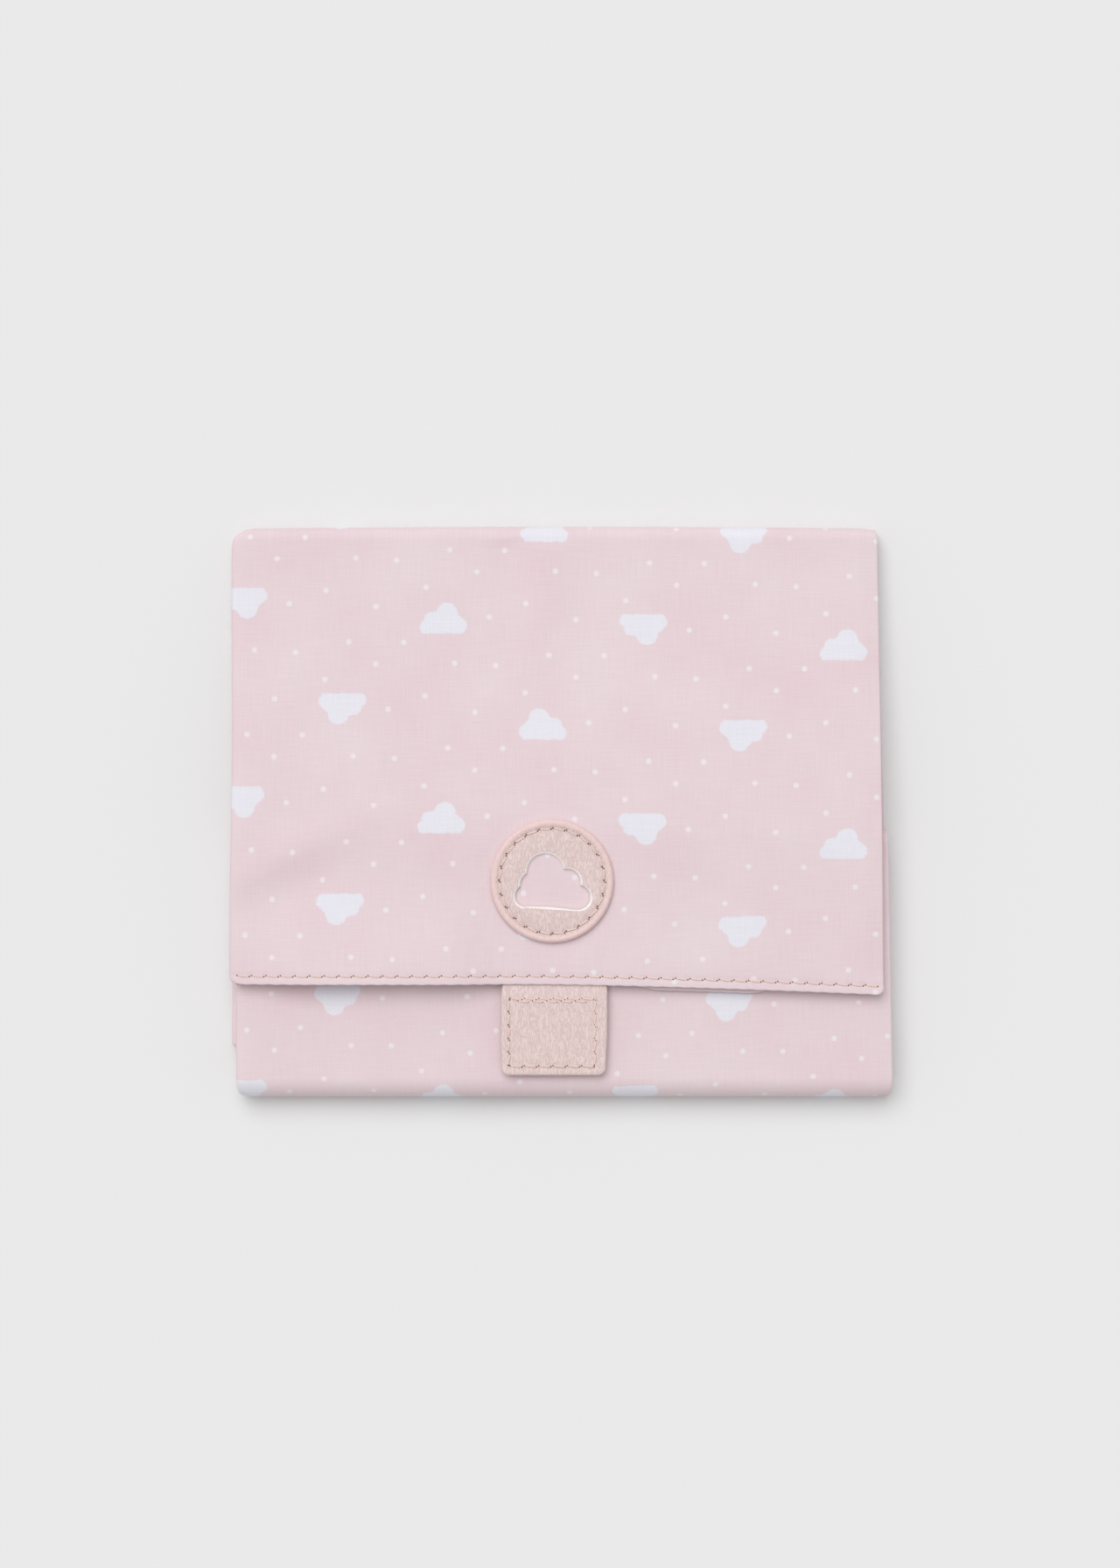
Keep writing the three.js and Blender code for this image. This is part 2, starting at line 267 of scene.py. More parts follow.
@dataclass(frozen=True)
class CloudPrint:
    """The repeat of the printed cloth: small clouds and pin dots on a slanting lattice, in millimetres.

    The column number of a cloud is twice its step along `along` plus its step along `down`; four columns
    hold the cloud upright, upside down, upside down in mirror, and mirrored.

    Attributes:
        start: the middle of one cloud.
        along, down: the two steps from a cloud to its neighbours.
        dot_radius: a pin dot's radius.
        edge: half the width over which the ink's edge fades.
        base_drop: how far a cloud's base lies under its middle.
        bumps: the round parts of a cloud, as x, y over the base and radius.
        blend: how far two bumps run into each other.
        base_bar: the flat bar along the base, as middle x and y, then half its width and height.
        base_round: the rounding of that bar.
        dots: the pin dots' places from the cloud's middle.
    """

    start: tuple[float, float] = (-6.7, 31.0)
    along: tuple[float, float] = (70.3, -4.7)
    down: tuple[float, float] = (34.9, -37.3)
    dot_radius: float = 0.95
    edge: float = 0.28
    base_drop: float = 5.9
    bumps: tuple[tuple[float, float, float], ...] = (
        (-1.3, 7.4, 3.7),
        (1.2, 4.2, 3.9),
        (4.4, 5.3, 2.4),
        (6.4, 2.4, 2.0),
        (-3.6, 4.0, 3.2),
        (-6.1, 3.0, 2.3),
    )
    blend: float = 1.6
    base_bar: tuple[float, float, float, float] = (0.2, 2.2, 6.6, 1.3)
    base_round: float = 0.7
    dots: tuple[tuple[float, float], ...] = (
        (11.7, 16.1),
        (16.1, 0.1),
        (-6.4, -27.8),
        (-13.9, -8.9),
        (4.0, -16.3),
        (2.2, 23.9),
        (18.4, -17.1),
        (-6.1, 10.6),
        (-23.7, 3.8),
    )

    def steps(self, x: float, y: float) -> tuple[float, float]:
        """The lattice steps along and down that reach a place."""
        (ax, ay), (bx, by) = self.along, self.down
        area = ax * by - ay * bx
        return (x * by - y * bx) / area, (y * ax - x * ay) / area

    def draw(self, tree: bpy.types.NodeTree, place: Socket) -> tuple[Socket, Socket]:
        """Draws the repeat.

        Args:
            tree: the material's node tree.
            place: the print place, in millimetres.

        Returns:
            How far a place is inside a cloud, and how far inside a dot, each from 0 to 1.
        """
        vector, number = "ShaderNodeVectorMath", "ShaderNodeMath"
        (ax, ay), (bx, by) = self.along, self.down
        area = ax * by - ay * bx
        from_start = add(tree, vector, place, (*self.start, 0.0), operation="SUBTRACT")
        a = add(tree, vector, from_start, (by / area, -bx / area, 0.0), operation="DOT_PRODUCT", out=1)
        b = add(tree, vector, from_start, (-ay / area, ax / area, 0.0), operation="DOT_PRODUCT", out=1)
        step = add(tree, "ShaderNodeCombineXYZ", a, b, 0.0)
        whole_a = add(tree, number, a, operation="ROUND")
        whole_b = add(tree, number, b, operation="ROUND")

        def in_millimetres(part_a: Socket, part_b: Socket) -> Socket:
            """Turns lattice steps back into millimetres."""
            first = add(tree, vector, (ax, ay, 0.0), in_Scale=part_a, operation="SCALE")
            second = add(tree, vector, (bx, by, 0.0), in_Scale=part_b, operation="SCALE")
            return add(tree, vector, first, second, operation="ADD")

        nearest = None
        for x, y in self.dots:
            offset = add(tree, vector, step, (*self.steps(x, y), 0.0), operation="SUBTRACT")
            wrapped = add(tree, vector, offset, (0.5,) * 3, (-0.5,) * 3, operation="WRAP")
            parts = add(tree, "ShaderNodeSeparateXYZ", wrapped).node
            apart = in_millimetres(parts.outputs[0], parts.outputs[1])
            gap = add(tree, vector, apart, operation="LENGTH", out=1)
            nearest = gap if nearest is None else add(tree, number, nearest, gap, operation="MINIMUM")
        limits = {"in_From_Min": self.dot_radius - self.edge, "in_From_Max": self.dot_radius + self.edge}
        dot = add(tree, "ShaderNodeMapRange", nearest, in_To_Min=1.0, in_To_Max=0.0, **limits)

        rest_a = add(tree, number, a, whole_a, operation="SUBTRACT")
        rest_b = add(tree, number, b, whole_b, operation="SUBTRACT")
        local = in_millimetres(rest_a, rest_b)
        column = add(tree, number, whole_a, 2.0, whole_b, operation="MULTIPLY_ADD")
        odd = add(tree, number, column, 2.0, operation="FLOORED_MODULO")
        four = add(tree, number, column, 4.0, operation="FLOORED_MODULO")
        from_middle = add(tree, number, four, 1.5, operation="SUBTRACT")
        off_middle = add(tree, number, from_middle, operation="ABSOLUTE")
        upright = add(tree, number, off_middle, 1.0, operation="GREATER_THAN")
        flip_x = add(tree, number, odd, -2.0, 1.0, operation="MULTIPLY_ADD")
        flip_y = add(tree, number, upright, 2.0, -1.0, operation="MULTIPLY_ADD")
        flips = add(tree, "ShaderNodeCombineXYZ", flip_x, flip_y, 1.0)
        turned = add(tree, vector, local, flips, (0.0, self.base_drop, 0.0), operation="MULTIPLY_ADD")
        bar_x, bar_y, half_width, half_height = self.base_bar
        box = add(tree, vector, turned, (bar_x, bar_y, 0.0), operation="SUBTRACT")
        box = add(tree, vector, box, operation="ABSOLUTE")
        box = add(tree, vector, box, (half_width, half_height, 1.0), operation="SUBTRACT")
        box = add(tree, vector, box, (0.0,) * 3, operation="MAXIMUM")
        outside = add(tree, vector, box, operation="LENGTH", out=1)
        cloud_gap = add(tree, number, outside, self.base_round, operation="SUBTRACT")
        for x, y, radius in self.bumps:
            away = add(tree, vector, turned, (x, y, 0.0), operation="DISTANCE", out=1)
            gap = add(tree, number, away, radius, operation="SUBTRACT")
            cloud_gap = add(tree, number, cloud_gap, gap, self.blend, operation="SMOOTH_MIN")
        fuzz = add(tree, "ShaderNodeTexNoise", place, in_Scale=1.1, in_Detail=3.0, noise_dimensions="2D")
        fuzz = add(tree, number, fuzz, 0.9, -0.4, operation="MULTIPLY_ADD")
        cloud_gap = add(tree, number, cloud_gap, fuzz, operation="ADD")
        limits = {"in_From_Min": -self.edge, "in_From_Max": self.edge}
        cloud = add(tree, "ShaderNodeMapRange", cloud_gap, in_To_Min=1.0, in_To_Max=0.0, **limits)
        return cloud, dot


def weave_height(tree: bpy.types.NodeTree, place: Socket, pitch: float) -> Socket:
    """The height of a plain weave: the product of two waves, one across and one along.

    Args:
        tree: the material's node tree.
        place: the place, in millimetres.
        pitch: the distance between threads, in millimetres.

    Returns:
        A height from -1 to 1.
    """
    scaled = add(tree, "ShaderNodeVectorMath", place, in_Scale=TAU / (2 * pitch), operation="SCALE")
    waves = add(tree, "ShaderNodeVectorMath", scaled, operation="SINE")
    parts = add(tree, "ShaderNodeSeparateXYZ", waves).node
    return add(tree, "ShaderNodeMath", parts.outputs[0], parts.outputs[1], operation="MULTIPLY")


@dataclass(frozen=True)
class PrintedCotton:
    """Plain-woven cotton with a pigment print: matt, faintly hairy, with slubs along both threads.

    The real thread spacing, 0.35 mm, is too fine to show, so the weave is drawn at 0.9 mm, in its bumps and
    as a faint painted shade where the threads run low. The slubs and a wide faint wash of a second pink keep
    the cloth from looking like plain paper.

    Attributes:
        ground: the dyed cloth's colour.
        deep: the second pink of the wash.
        cloud: the ink of the clouds.
        dot: the ink of the pin dots.
        pitch: the distance between the drawn threads, in millimetres.
        slub: how short the slubs are; a smaller number draws them longer.
        repeat: the print.
    """

    ground: str = "#e5d6d9"
    deep: str = "#e2cad0"
    cloud: str = "#e5e4ec"
    dot: str = "#ece6ea"
    pitch: float = 0.9
    slub: float = 0.35
    repeat: CloudPrint = CloudPrint()

    def build(self) -> bpy.types.Material:
        """Makes the material, which reads the print places of the piece."""
        made, tree, shader = new_material("printed_plain_weave_cotton")
        place = add(tree, "ShaderNodeUVMap", uv_map=PRINT_LAYER)
        cloud, dot = self.repeat.draw(tree, place)
        weave = weave_height(tree, place, self.pitch)
        across = add(tree, "ShaderNodeVectorMath", place, (self.slub * 0.25, 2.2, 1.0), operation="MULTIPLY")
        along = add(tree, "ShaderNodeVectorMath", place, (2.2, self.slub * 0.25, 1.0), operation="MULTIPLY")
        slub_a = add(tree, "ShaderNodeTexNoise", across, in_Scale=1.0, in_Detail=2.0, noise_dimensions="2D")
        slub_b = add(tree, "ShaderNodeTexNoise", along, in_Scale=1.0, in_Detail=2.0, noise_dimensions="2D")
        slubs = add(tree, "ShaderNodeMath", slub_a, slub_b, operation="ADD")
        wash = add(tree, "ShaderNodeTexNoise", place, in_Scale=0.03, in_Detail=2.0, noise_dimensions="2D")
        tones = (linear(self.ground), linear(self.deep))
        shade = add(tree, "ShaderNodeMix", wash, *COLOUR_SOCKETS, *tones, data_type="RGBA", out=2)
        tone = add(tree, "ShaderNodeMapRange", slubs, 0.6, 1.4, 0.965, 1.03)
        # Painted shade of the weave: the colour dips by up to 0.5% where the drawn threads run low.
        thread = add(tree, "ShaderNodeMath", weave, 0.005, tone, operation="MULTIPLY_ADD")
        for mask, colour, cover in ((dot, self.dot, 0.8), (cloud, self.cloud, 0.95)):
            share = add(tree, "ShaderNodeMath", mask, cover, operation="MULTIPLY")
            tones = (shade, linear(colour))
            shade = add(tree, "ShaderNodeMix", share, *COLOUR_SOCKETS, *tones, data_type="RGBA", out=2)
        toned = add(tree, "ShaderNodeVectorMath", shade, in_Scale=thread, operation="SCALE")
        tree.links.new(toned, shader.inputs["Base Color"])
        faint = add(tree, "ShaderNodeMath", weave, 0.13, operation="MULTIPLY")
        height = add(tree, "ShaderNodeMath", slubs, 1.2, faint, operation="MULTIPLY_ADD")
        bump = add(tree, "ShaderNodeBump", in_Height=height, in_Strength=0.2, in_Distance=0.0001)
        tree.links.new(bump, shader.inputs["Normal"])
        rough = add(tree, "ShaderNodeMapRange", slubs, 0.6, 1.4, 0.78, 0.9)
        tree.links.new(rough, shader.inputs["Roughness"])
        shader.inputs["Specular IOR Level"].default_value = 0.25
        shader.inputs["Sheen Weight"].default_value = 0.12
        shader.inputs["Sheen Roughness"].default_value = 0.5
        return made


@dataclass(frozen=True)
class WipeCleanLining:
    """Coated polyester lining: smooth, with the soft gloss of its film over a fine weave drawn at 1.2 mm.

    The gloss sets the wipe-clean side apart from the matt cotton.

    Attributes:
        colour: the film's colour.
        pitch: the distance between the drawn threads, in millimetres.
    """

    colour: str = "#f0e9e9"
    pitch: float = 1.2

    def build(self) -> bpy.types.Material:
        """Makes the material, which reads the print places of the piece."""
        made, tree, shader = new_material("coated_polyester_lining")
        place = add(tree, "ShaderNodeUVMap", uv_map=PRINT_LAYER)
        weave = weave_height(tree, place, self.pitch)
        cloudy = add(tree, "ShaderNodeTexNoise", place, in_Scale=0.08, in_Detail=3.0)
        tone = add(tree, "ShaderNodeMapRange", cloudy, 0.3, 0.7, 0.96, 1.0)
        toned = add(tree, "ShaderNodeVectorMath", linear(self.colour)[:3], in_Scale=tone, operation="SCALE")
        tree.links.new(toned, shader.inputs["Base Color"])
        bump = add(tree, "ShaderNodeBump", in_Height=weave, in_Strength=0.12, in_Distance=0.0001)
        tree.links.new(bump, shader.inputs["Normal"])
        shader.inputs["Roughness"].default_value = 0.45
        return made


@dataclass(frozen=True)
class Leatherette:
    """Embossed polyurethane leatherette: a soft satin skin with long fine wrinkles running down the piece.

    The wrinkles lie about 1 mm apart and 4 mm long. Their valleys are painted a little darker, as painted
    shade down in each wrinkle, which gives the eye a grained skin, warmer and flatter than the cloth beside
    it.

    Attributes:
        name: the material's name.
        colour: the colour of the ridges between wrinkles.
        painted_wrinkle_shade: the painted shade down in a wrinkle, a darker colour than the ridges.
        relief: how strongly the wrinkles bend the light, from 0 to 1.
        rough: the roughness in the middle of its range.
        wrinkle_depth: how deep a wrinkle goes, in millimetres.
    """

    name: str = "embossed_leatherette"
    colour: str = "#e6d1ce"
    painted_wrinkle_shade: str = "#dbc2bf"
    relief: float = 0.46
    rough: float = 0.5
    wrinkle_depth: float = 0.22

    def build(self) -> bpy.types.Material:
        """Makes the material, which reads Object coordinates."""
        made, tree, shader = new_material(self.name)
        place = add(tree, "ShaderNodeTexCoord", out=3)
        drawn = add(tree, "ShaderNodeVectorMath", place, (1500.0, 300.0, 900.0), operation="MULTIPLY")
        bend = add(tree, "ShaderNodeTexNoise", place, in_Scale=190.0, in_Detail=2.0, out=1)
        bent = add(tree, "ShaderNodeVectorMath", bend, (2.2,) * 3, drawn, operation="MULTIPLY_ADD")
        folds = add(tree, "ShaderNodeTexNoise", bent, in_Scale=1.0, in_Detail=3.0, in_Roughness=0.55)
        centred = add(tree, "ShaderNodeMath", folds, 0.5, operation="SUBTRACT")
        off = add(tree, "ShaderNodeMath", centred, operation="ABSOLUTE")
        wrinkle = add(tree, "ShaderNodeMapRange", off, 0.0, 0.07, interpolation_type="SMOOTHSTEP")
        fine = add(tree, "ShaderNodeTexNoise", bent, in_Scale=2.6, in_Detail=4.0)
        height = add(tree, "ShaderNodeMath", fine, 0.9, wrinkle, operation="MULTIPLY_ADD")
        # Painted shade: the wrinkles' valleys take the darker colour.
        wrinkle_shade_share = add(tree, "ShaderNodeMapRange", height, 0.4, 1.5, 0.1, 1.0)
        tones = (linear(self.painted_wrinkle_shade), linear(self.colour))
        mixed = add(tree, "ShaderNodeMix", wrinkle_shade_share, *COLOUR_SOCKETS, *tones, data_type="RGBA", out=2)
        tree.links.new(mixed, shader.inputs["Base Color"])
        deep = self.wrinkle_depth * MM
        bump = add(tree, "ShaderNodeBump", in_Height=height, in_Strength=self.relief, in_Distance=deep)
        tree.links.new(bump, shader.inputs["Normal"])
        gloss = add(tree, "ShaderNodeMapRange", fine, 0.3, 0.7, self.rough - 0.06, self.rough + 0.1)
        tree.links.new(gloss, shader.inputs["Roughness"])
        shader.inputs["Specular IOR Level"].default_value = 0.4
        return made


@dataclass(frozen=True)
class SewingThread:
    """Spun polyester thread: pale where it crosses the cloth, with painted shade darkening each stitch's
    ends at the needle holes.

    Attributes:
        colour: the thread's own colour.
        hole: the painted shade at a stitch's ends, where the thread goes into its needle hole; it sets one
            stitch apart from the next.
        twist: how many radians of ply lie round the thread.
        lay: how many turns the ply makes along one stitch.
    """

    colour: str = "#e9d0c7"
    hole: str = "#7a5648"
    twist: float = 14.0
    lay: float = 2.5

    def build(self) -> bpy.types.Material:
        """Makes the material, which reads how far along its stitch a place is."""
        made, tree, shader = new_material("spun_sewing_thread")
        place = add(tree, "ShaderNodeUVMap", uv_map=PRINT_LAYER)
        parts = add(tree, "ShaderNodeSeparateXYZ", place).node
        middle = add(tree, "ShaderNodeMath", parts.outputs[1], 0.5, operation="SUBTRACT")
        off = add(tree, "ShaderNodeMath", middle, operation="ABSOLUTE")
        # Painted shade: the colour turns dark towards each end of a stitch, down at its needle hole.
        near = add(tree, "ShaderNodeMapRange", off, 0.36, 0.43, interpolation_type="SMOOTHSTEP")
        tones = (linear(self.colour), linear(self.hole))
        mixed = add(tree, "ShaderNodeMix", near, *COLOUR_SOCKETS, *tones, data_type="RGBA", out=2)
        tree.links.new(mixed, shader.inputs["Base Color"])
        along, round_it = parts.outputs[1], parts.outputs[0]
        turns = add(tree, "ShaderNodeMath", along, self.lay, round_it, operation="MULTIPLY_ADD")
        angle = add(tree, "ShaderNodeMath", turns, self.twist, operation="MULTIPLY")
        ply = add(tree, "ShaderNodeMath", angle, operation="SINE")
        bump = add(tree, "ShaderNodeBump", in_Height=ply, in_Strength=0.4, in_Distance=0.0001)
        tree.links.new(bump, shader.inputs["Normal"])
        shader.inputs["Roughness"].default_value = 0.7
        return made


@dataclass(frozen=True)
class PileTape:
    """Woven nylon fastening tape: a field of small hooks or loops, drawn as a dotted pile at its real pitch.

    The gaps between the dots are painted darker, as painted shade down between the hooks or loops, which
    gives the eye a short, dense, slightly shiny pile.

    Attributes:
        name: the material's name.
        colour: the nylon's colour.
        pitch: the distance from one hook or loop to the next, in millimetres.
        relief: how strongly the pile bends the light, from 0 to 1.
    """

    name: str
    colour: str
    pitch: float
    relief: float

    def build(self) -> bpy.types.Material:
        """Makes the material, which reads Object coordinates."""
        made, tree, shader = new_material(self.name)
        place = add(tree, "ShaderNodeTexCoord", out=3)
        cells = add(tree, "ShaderNodeTexVoronoi", place, in_Scale=1 / (self.pitch * MM))
        # Painted shade: the colour darkens by up to 18% away from each dot's middle, down in the pile.
        tone = add(tree, "ShaderNodeMapRange", cells, 0.0, 0.7, 1.0, 0.82)
        toned = add(tree, "ShaderNodeVectorMath", linear(self.colour)[:3], in_Scale=tone, operation="SCALE")
        tree.links.new(toned, shader.inputs["Base Color"])
        down = add(tree, "ShaderNodeMath", cells, -1.0, operation="MULTIPLY")
        bump = add(tree, "ShaderNodeBump", in_Height=down, in_Strength=self.relief, in_Distance=0.0004)
        tree.links.new(bump, shader.inputs["Normal"])
        shader.inputs["Roughness"].default_value = 0.65
        return made


# ---------------------------------------------------------------- the folded mat


class Stretch(Enum):
    """The stretches of the folded strip, in order from the flap's hem, by their first station."""

    FLAP = 0
    TOP_FOLD = 1
    BACK = 2
    BOTTOM_FOLD = 3
    FRONT = 4
    INNER_FOLD = 5
    END = 6


@dataclass
class Mat:
    """The doubled mat as one strip, folded in four about its three cross folds.

    A station runs from 0 at the flap's hem to 7 at the hidden end's hem, one unit for each stretch. Each
    tuple of eight holds one value for each whole station.

    Attributes:
        half: half the doubled mat's thickness.
        back_z, end_z, front_z: middle heights of the level panels.
        flap_high_z: the flap's middle height once it has climbed over the panels under it.
        ridge_y: where the flap's climb ends.
        top_fold, bottom_fold, inner_fold: y and z of each fold's middle, and its radius.
        top_bend_y, bottom_bend_y: y at which each of those two folds bends.
        flap_hem: y of the flap's hem at the left and at the lowest, right end.
        dip_from: how far across the hem starts to dip towards the right.
        end_hem: y of the hidden end's hem.
        left, right: x of the two side edges.
        corner: how far the left edge draws in at the top and bottom folds, and the right edge at both.
        hem_corner: how far a hem's corner is rounded off.
        slit: the level of the two lining faces, so that the halves don't touch.
        seam_level: the middle levels of the outer and the inner half at a hem.
        columns: steps across each face.
        roll_points, turn_points: points round a side edge, and round the turn at the left.
        hem_zone: how far from a hem the padding starts to thin.
        turned_hem: how far the printed cloth is turned in over the lining.
        stitch_inset, stitch_pitch: the topstitching's distance from the hem, and its stitch length.
        seam_thin: the share of its thickness that the mat loses at a hem.
        edge_pinch: how far each face sinks beside a side seam, in millimetres.
        groove_depth: how deep the topstitching pulls the cloth in.
        crown: how far the top fold swells past a straight line at mid width.
        corner_slack: how far the print slips towards the flap's low right corner.
        front_turn, front_scale: how the front panel's cloth lies turned, and how tight it is.
        front_cloud, front_cloud_steps: a cloud on the front panel, and which one of the print it is.
        printed: the print.
        waves: the padding's long low waves, as height, x length, y length and phase.
        slant_at: the middle of the slanting fold at the left edge.
        badge_dip: x, y and radius of the dip pressed round the badge.
        lift: how far the flap's hem springs up left of the tab, right of it, and in a small wave.
    """

    half: float = 2.2
    back_z: float = 2.2
    end_z: float = 7.1
    front_z: float = 12.0
    flap_high_z: float = 16.9
    ridge_y: float = -8.0
    top_fold: tuple[float, float, float] = (95.55, 4.65, 2.45)
    bottom_fold: tuple[float, float, float] = (-93.1, 7.1, 4.9)
    inner_fold: tuple[float, float, float] = (-9.85, 9.55, 2.45)
    top_bend_y: float = 97.5
    bottom_bend_y: float = -96.1
    flap_hem: tuple[float, float] = (-60.2, -63.8)
    dip_from: float = 0.45
    end_hem: float = -83.9
    left: tuple[float, ...] = (-116.0, -116.0, -116.0, -114.4, -114.4, -114.4, -116.2, -116.2)
    right: tuple[float, ...] = (112.6, 111.3, 111.3, 116.2, 116.2, 114.6, 114.0, 114.0)
    corner: tuple[float, float, float] = (3.6, 0.5, 0.4)
    hem_corner: float = 1.5
    slit: float = 0.02
    seam_level: tuple[float, float] = (0.74, -0.46)
    columns: int = 200
    roll_points: int = 7
    turn_points: int = 11
    hem_zone: float = 9.0
    turned_hem: float = 8.0
    stitch_inset: float = 3.0
    stitch_pitch: float = 5.1
    seam_thin: float = 0.55
    edge_pinch: float = 0.55
    groove_depth: float = 0.3
    crown: float = 0.55
    corner_slack: float = 1.9
    front_turn: float = math.radians(3.0)
    front_scale: float = 0.975
    front_cloud: tuple[float, float] = (-78.6, -66.2)
    front_cloud_steps: tuple[int, int] = (3, -8)
    printed: CloudPrint = CloudPrint()
    waves: tuple[tuple[float, float, float, float], ...] = (
        (0.16, 17.0, 29.0, 0.6),
        (0.14, 31.0, -14.0, 2.1),
        (0.07, 6.1, -19.0, 1.3),
    )
    slant_at: tuple[float, float] = (-97.0, -16.0)
    badge_dip: tuple[float, float, float] = (-3.4, -24.0, 23.5)
    lift: tuple[float, float, float] = (3.9, 0.28, 0.2)

    def flap_z(self, y: np.ndarray) -> np.ndarray:
        """The middle height of the flap: low beside its fold, then climbing over the front panel's end."""
        fold_y, low = self.top_fold[0], self.end_z
        t = np.clip((fold_y - y) / (fold_y - self.ridge_y), 0, 1)
        return low + (self.flap_high_z - low) * (0.5 * t + 0.5 * t * t * (3 - 2 * t))

    def path(self, station: np.ndarray, across: np.ndarray, side: np.ndarray) -> tuple[np.ndarray, ...]:
        """The middle line of the folded strip: straight stretches joined by half circles.

        Args:
            station: stations along the strip.
            across: 0 at the left edge to 1 at the right.
            side: 0 on the outer half, 1 on the inner half.

        Returns:
            Y, z and the distance to the nearer hem, in millimetres.
        """
        kind = np.clip(np.floor(station), 0, 6)
        t = station - kind
        peek = smooth(0.60, 0.66, across) * (1 - smooth(0.80, 0.86, across))
        shorter = side * (1.1 - 2.4 * peek)
        dip = np.clip((across - self.dip_from) / (1 - self.dip_from), 0, 1) ** 1.5
        flap_hem = self.flap_hem[0] + (self.flap_hem[1] - self.flap_hem[0]) * dip + shorter
        end_hem = self.end_hem + 1.2 * side
        angle = math.pi / 2 - math.pi * t
        top_y, bottom_y, inner_y = self.top_fold[0], self.bottom_fold[0], self.inner_fold[0]
        lines = {
            Stretch.FLAP: (flap_hem + t * (top_y - flap_hem), None),
            Stretch.BACK: (top_y + t * (bottom_y - top_y), self.back_z),
            Stretch.FRONT: (bottom_y + t * (inner_y - bottom_y), self.front_z),
            Stretch.END: (inner_y + t * (end_hem - inner_y), self.end_z),
        }
        y, z = np.zeros_like(station), np.zeros_like(station)
        for stretch, (line_y, line_z) in lines.items():
            here = kind == stretch.value
            y = np.where(here, line_y, y)
            z = np.where(here, self.flap_z(line_y) if line_z is None else line_z, z)
        for stretch, (fold_y, fold_z, radius), sense in (
            (Stretch.TOP_FOLD, self.top_fold, 1),
            (Stretch.BOTTOM_FOLD, self.bottom_fold, -1),
            (Stretch.INNER_FOLD, self.inner_fold, 1),
        ):
            here = kind == stretch.value
            y = np.where(here, fold_y + sense * radius * np.cos(angle), y)
            z = np.where(here, fold_z + sense * radius * np.sin(angle), z)
        first = t * (top_y - flap_hem)
        last = (1 - t) * (inner_y - end_hem)
        at_end = np.where(kind == Stretch.END.value, last, FAR)
        hem = np.where(kind == Stretch.FLAP.value, first, at_end)
        return y, z, hem

    def relief(self, x: np.ndarray, y: np.ndarray, station: np.ndarray) -> np.ndarray:
        """The slight unevenness of the padded cloth: long low waves, a few soft creases and puckers.

        Args:
            x: across, in millimetres.
            y: towards the top fold, in millimetres.
            station: stations along the strip.

        Returns:
            Height over the smooth surface, in millimetres.
        """
        waves = sum(high * np.sin(x / a + y / b + phase) for high, a, b, phase in self.waves)
        waves = waves + 0.09 * np.sin(x / 8.3 + y / 11.0 + 4.0) * np.sin(y / 23.0 + 1.0)

        # An upright crease near the top fold: a valley with a rise 12 mm to its right.
        line = x + 21 + 2.0 * np.sin(y / 17.0)
        upright = (-0.7 * bell(line, 4.5) + 0.55 * bell(line - 12, 6.5)) * smooth(40, 74, y)

        # A slanting fold at the left edge, with a valley 11 mm above it.
        from_x, from_y = x - self.slant_at[0], y - self.slant_at[1]
        slant = from_x * 0.45 - from_y * 0.89
        run = from_x * 0.89 + from_y * 0.45
        corner = 1.2 * bell(slant, 5.0) * bell(run, 17.0) - 0.8 * bell(slant - 11, 6.0) * bell(run, 20.0)

        # The dip pressed round the badge, and the ridge over the front panel's end.
        badge_x, badge_y, dip_radius = self.badge_dip
        seat = -0.25 * bell(np.hypot(x - badge_x, y - badge_y) - dip_radius, 2.4)
        ridge = 0.35 * bell(y + 9, 9.0) * (0.6 + 0.4 * np.sin(x / 37.0 + 1.0))
        return waves + np.where(station < 1, upright + corner + seat + ridge, 0.0)

    def hem_lift(self, x: np.ndarray, y: np.ndarray) -> np.ndarray:
        """How far the flap's free edge springs up from the front panel: most on the left of the tab.

        Args:
            x: across, in millimetres.
            y: towards the top fold, in millimetres.

        Returns:
            Heights, in millimetres.
        """
        high, low, ripple = self.lift
        left = smooth(-118, -88, x) * (1 - smooth(-40, -18, x))
        right = low * smooth(16, 40, x)
        wave = ripple * np.sin(x / 13.0)
        return (high * left + right + wave * left) * (1 - smooth(-63, -22, y))

    def side_edges(
        self, station: np.ndarray, y: np.ndarray, hem: np.ndarray
    ) -> tuple[np.ndarray, np.ndarray]:
        """The x of the two side edges: each panel's own, drawn in round the folds and rounded at a hem.

        Args:
            station: stations along the strip.
            y: towards the top fold, in millimetres.
            hem: the distance to the nearer hem, in millimetres.

        Returns:
            X on the left and x on the right, in millimetres.
        """
        top, bottom = (
            np.sin(np.clip(1 - np.abs(station - middle_at) * 2, 0, 1) * math.pi / 2) ** 2
            for middle_at in (Stretch.TOP_FOLD.value + 0.5, Stretch.BOTTOM_FOLD.value + 0.5)
        )
        draw_left_top, draw_left_bottom, draw_right = self.corner
        wander = 0.35 * np.sin(y / 21.0 + 0.7) * (station < 1)
        rounding = self.hem_corner * np.clip(1 - hem / 2.0, 0, 1) ** 2
        left = np.interp(station, range(8), self.left) + draw_left_top * top + draw_left_bottom * bottom
        right = np.interp(station, range(8), self.right) - draw_right * (top + bottom)
        return left + wander + rounding, right - rounding

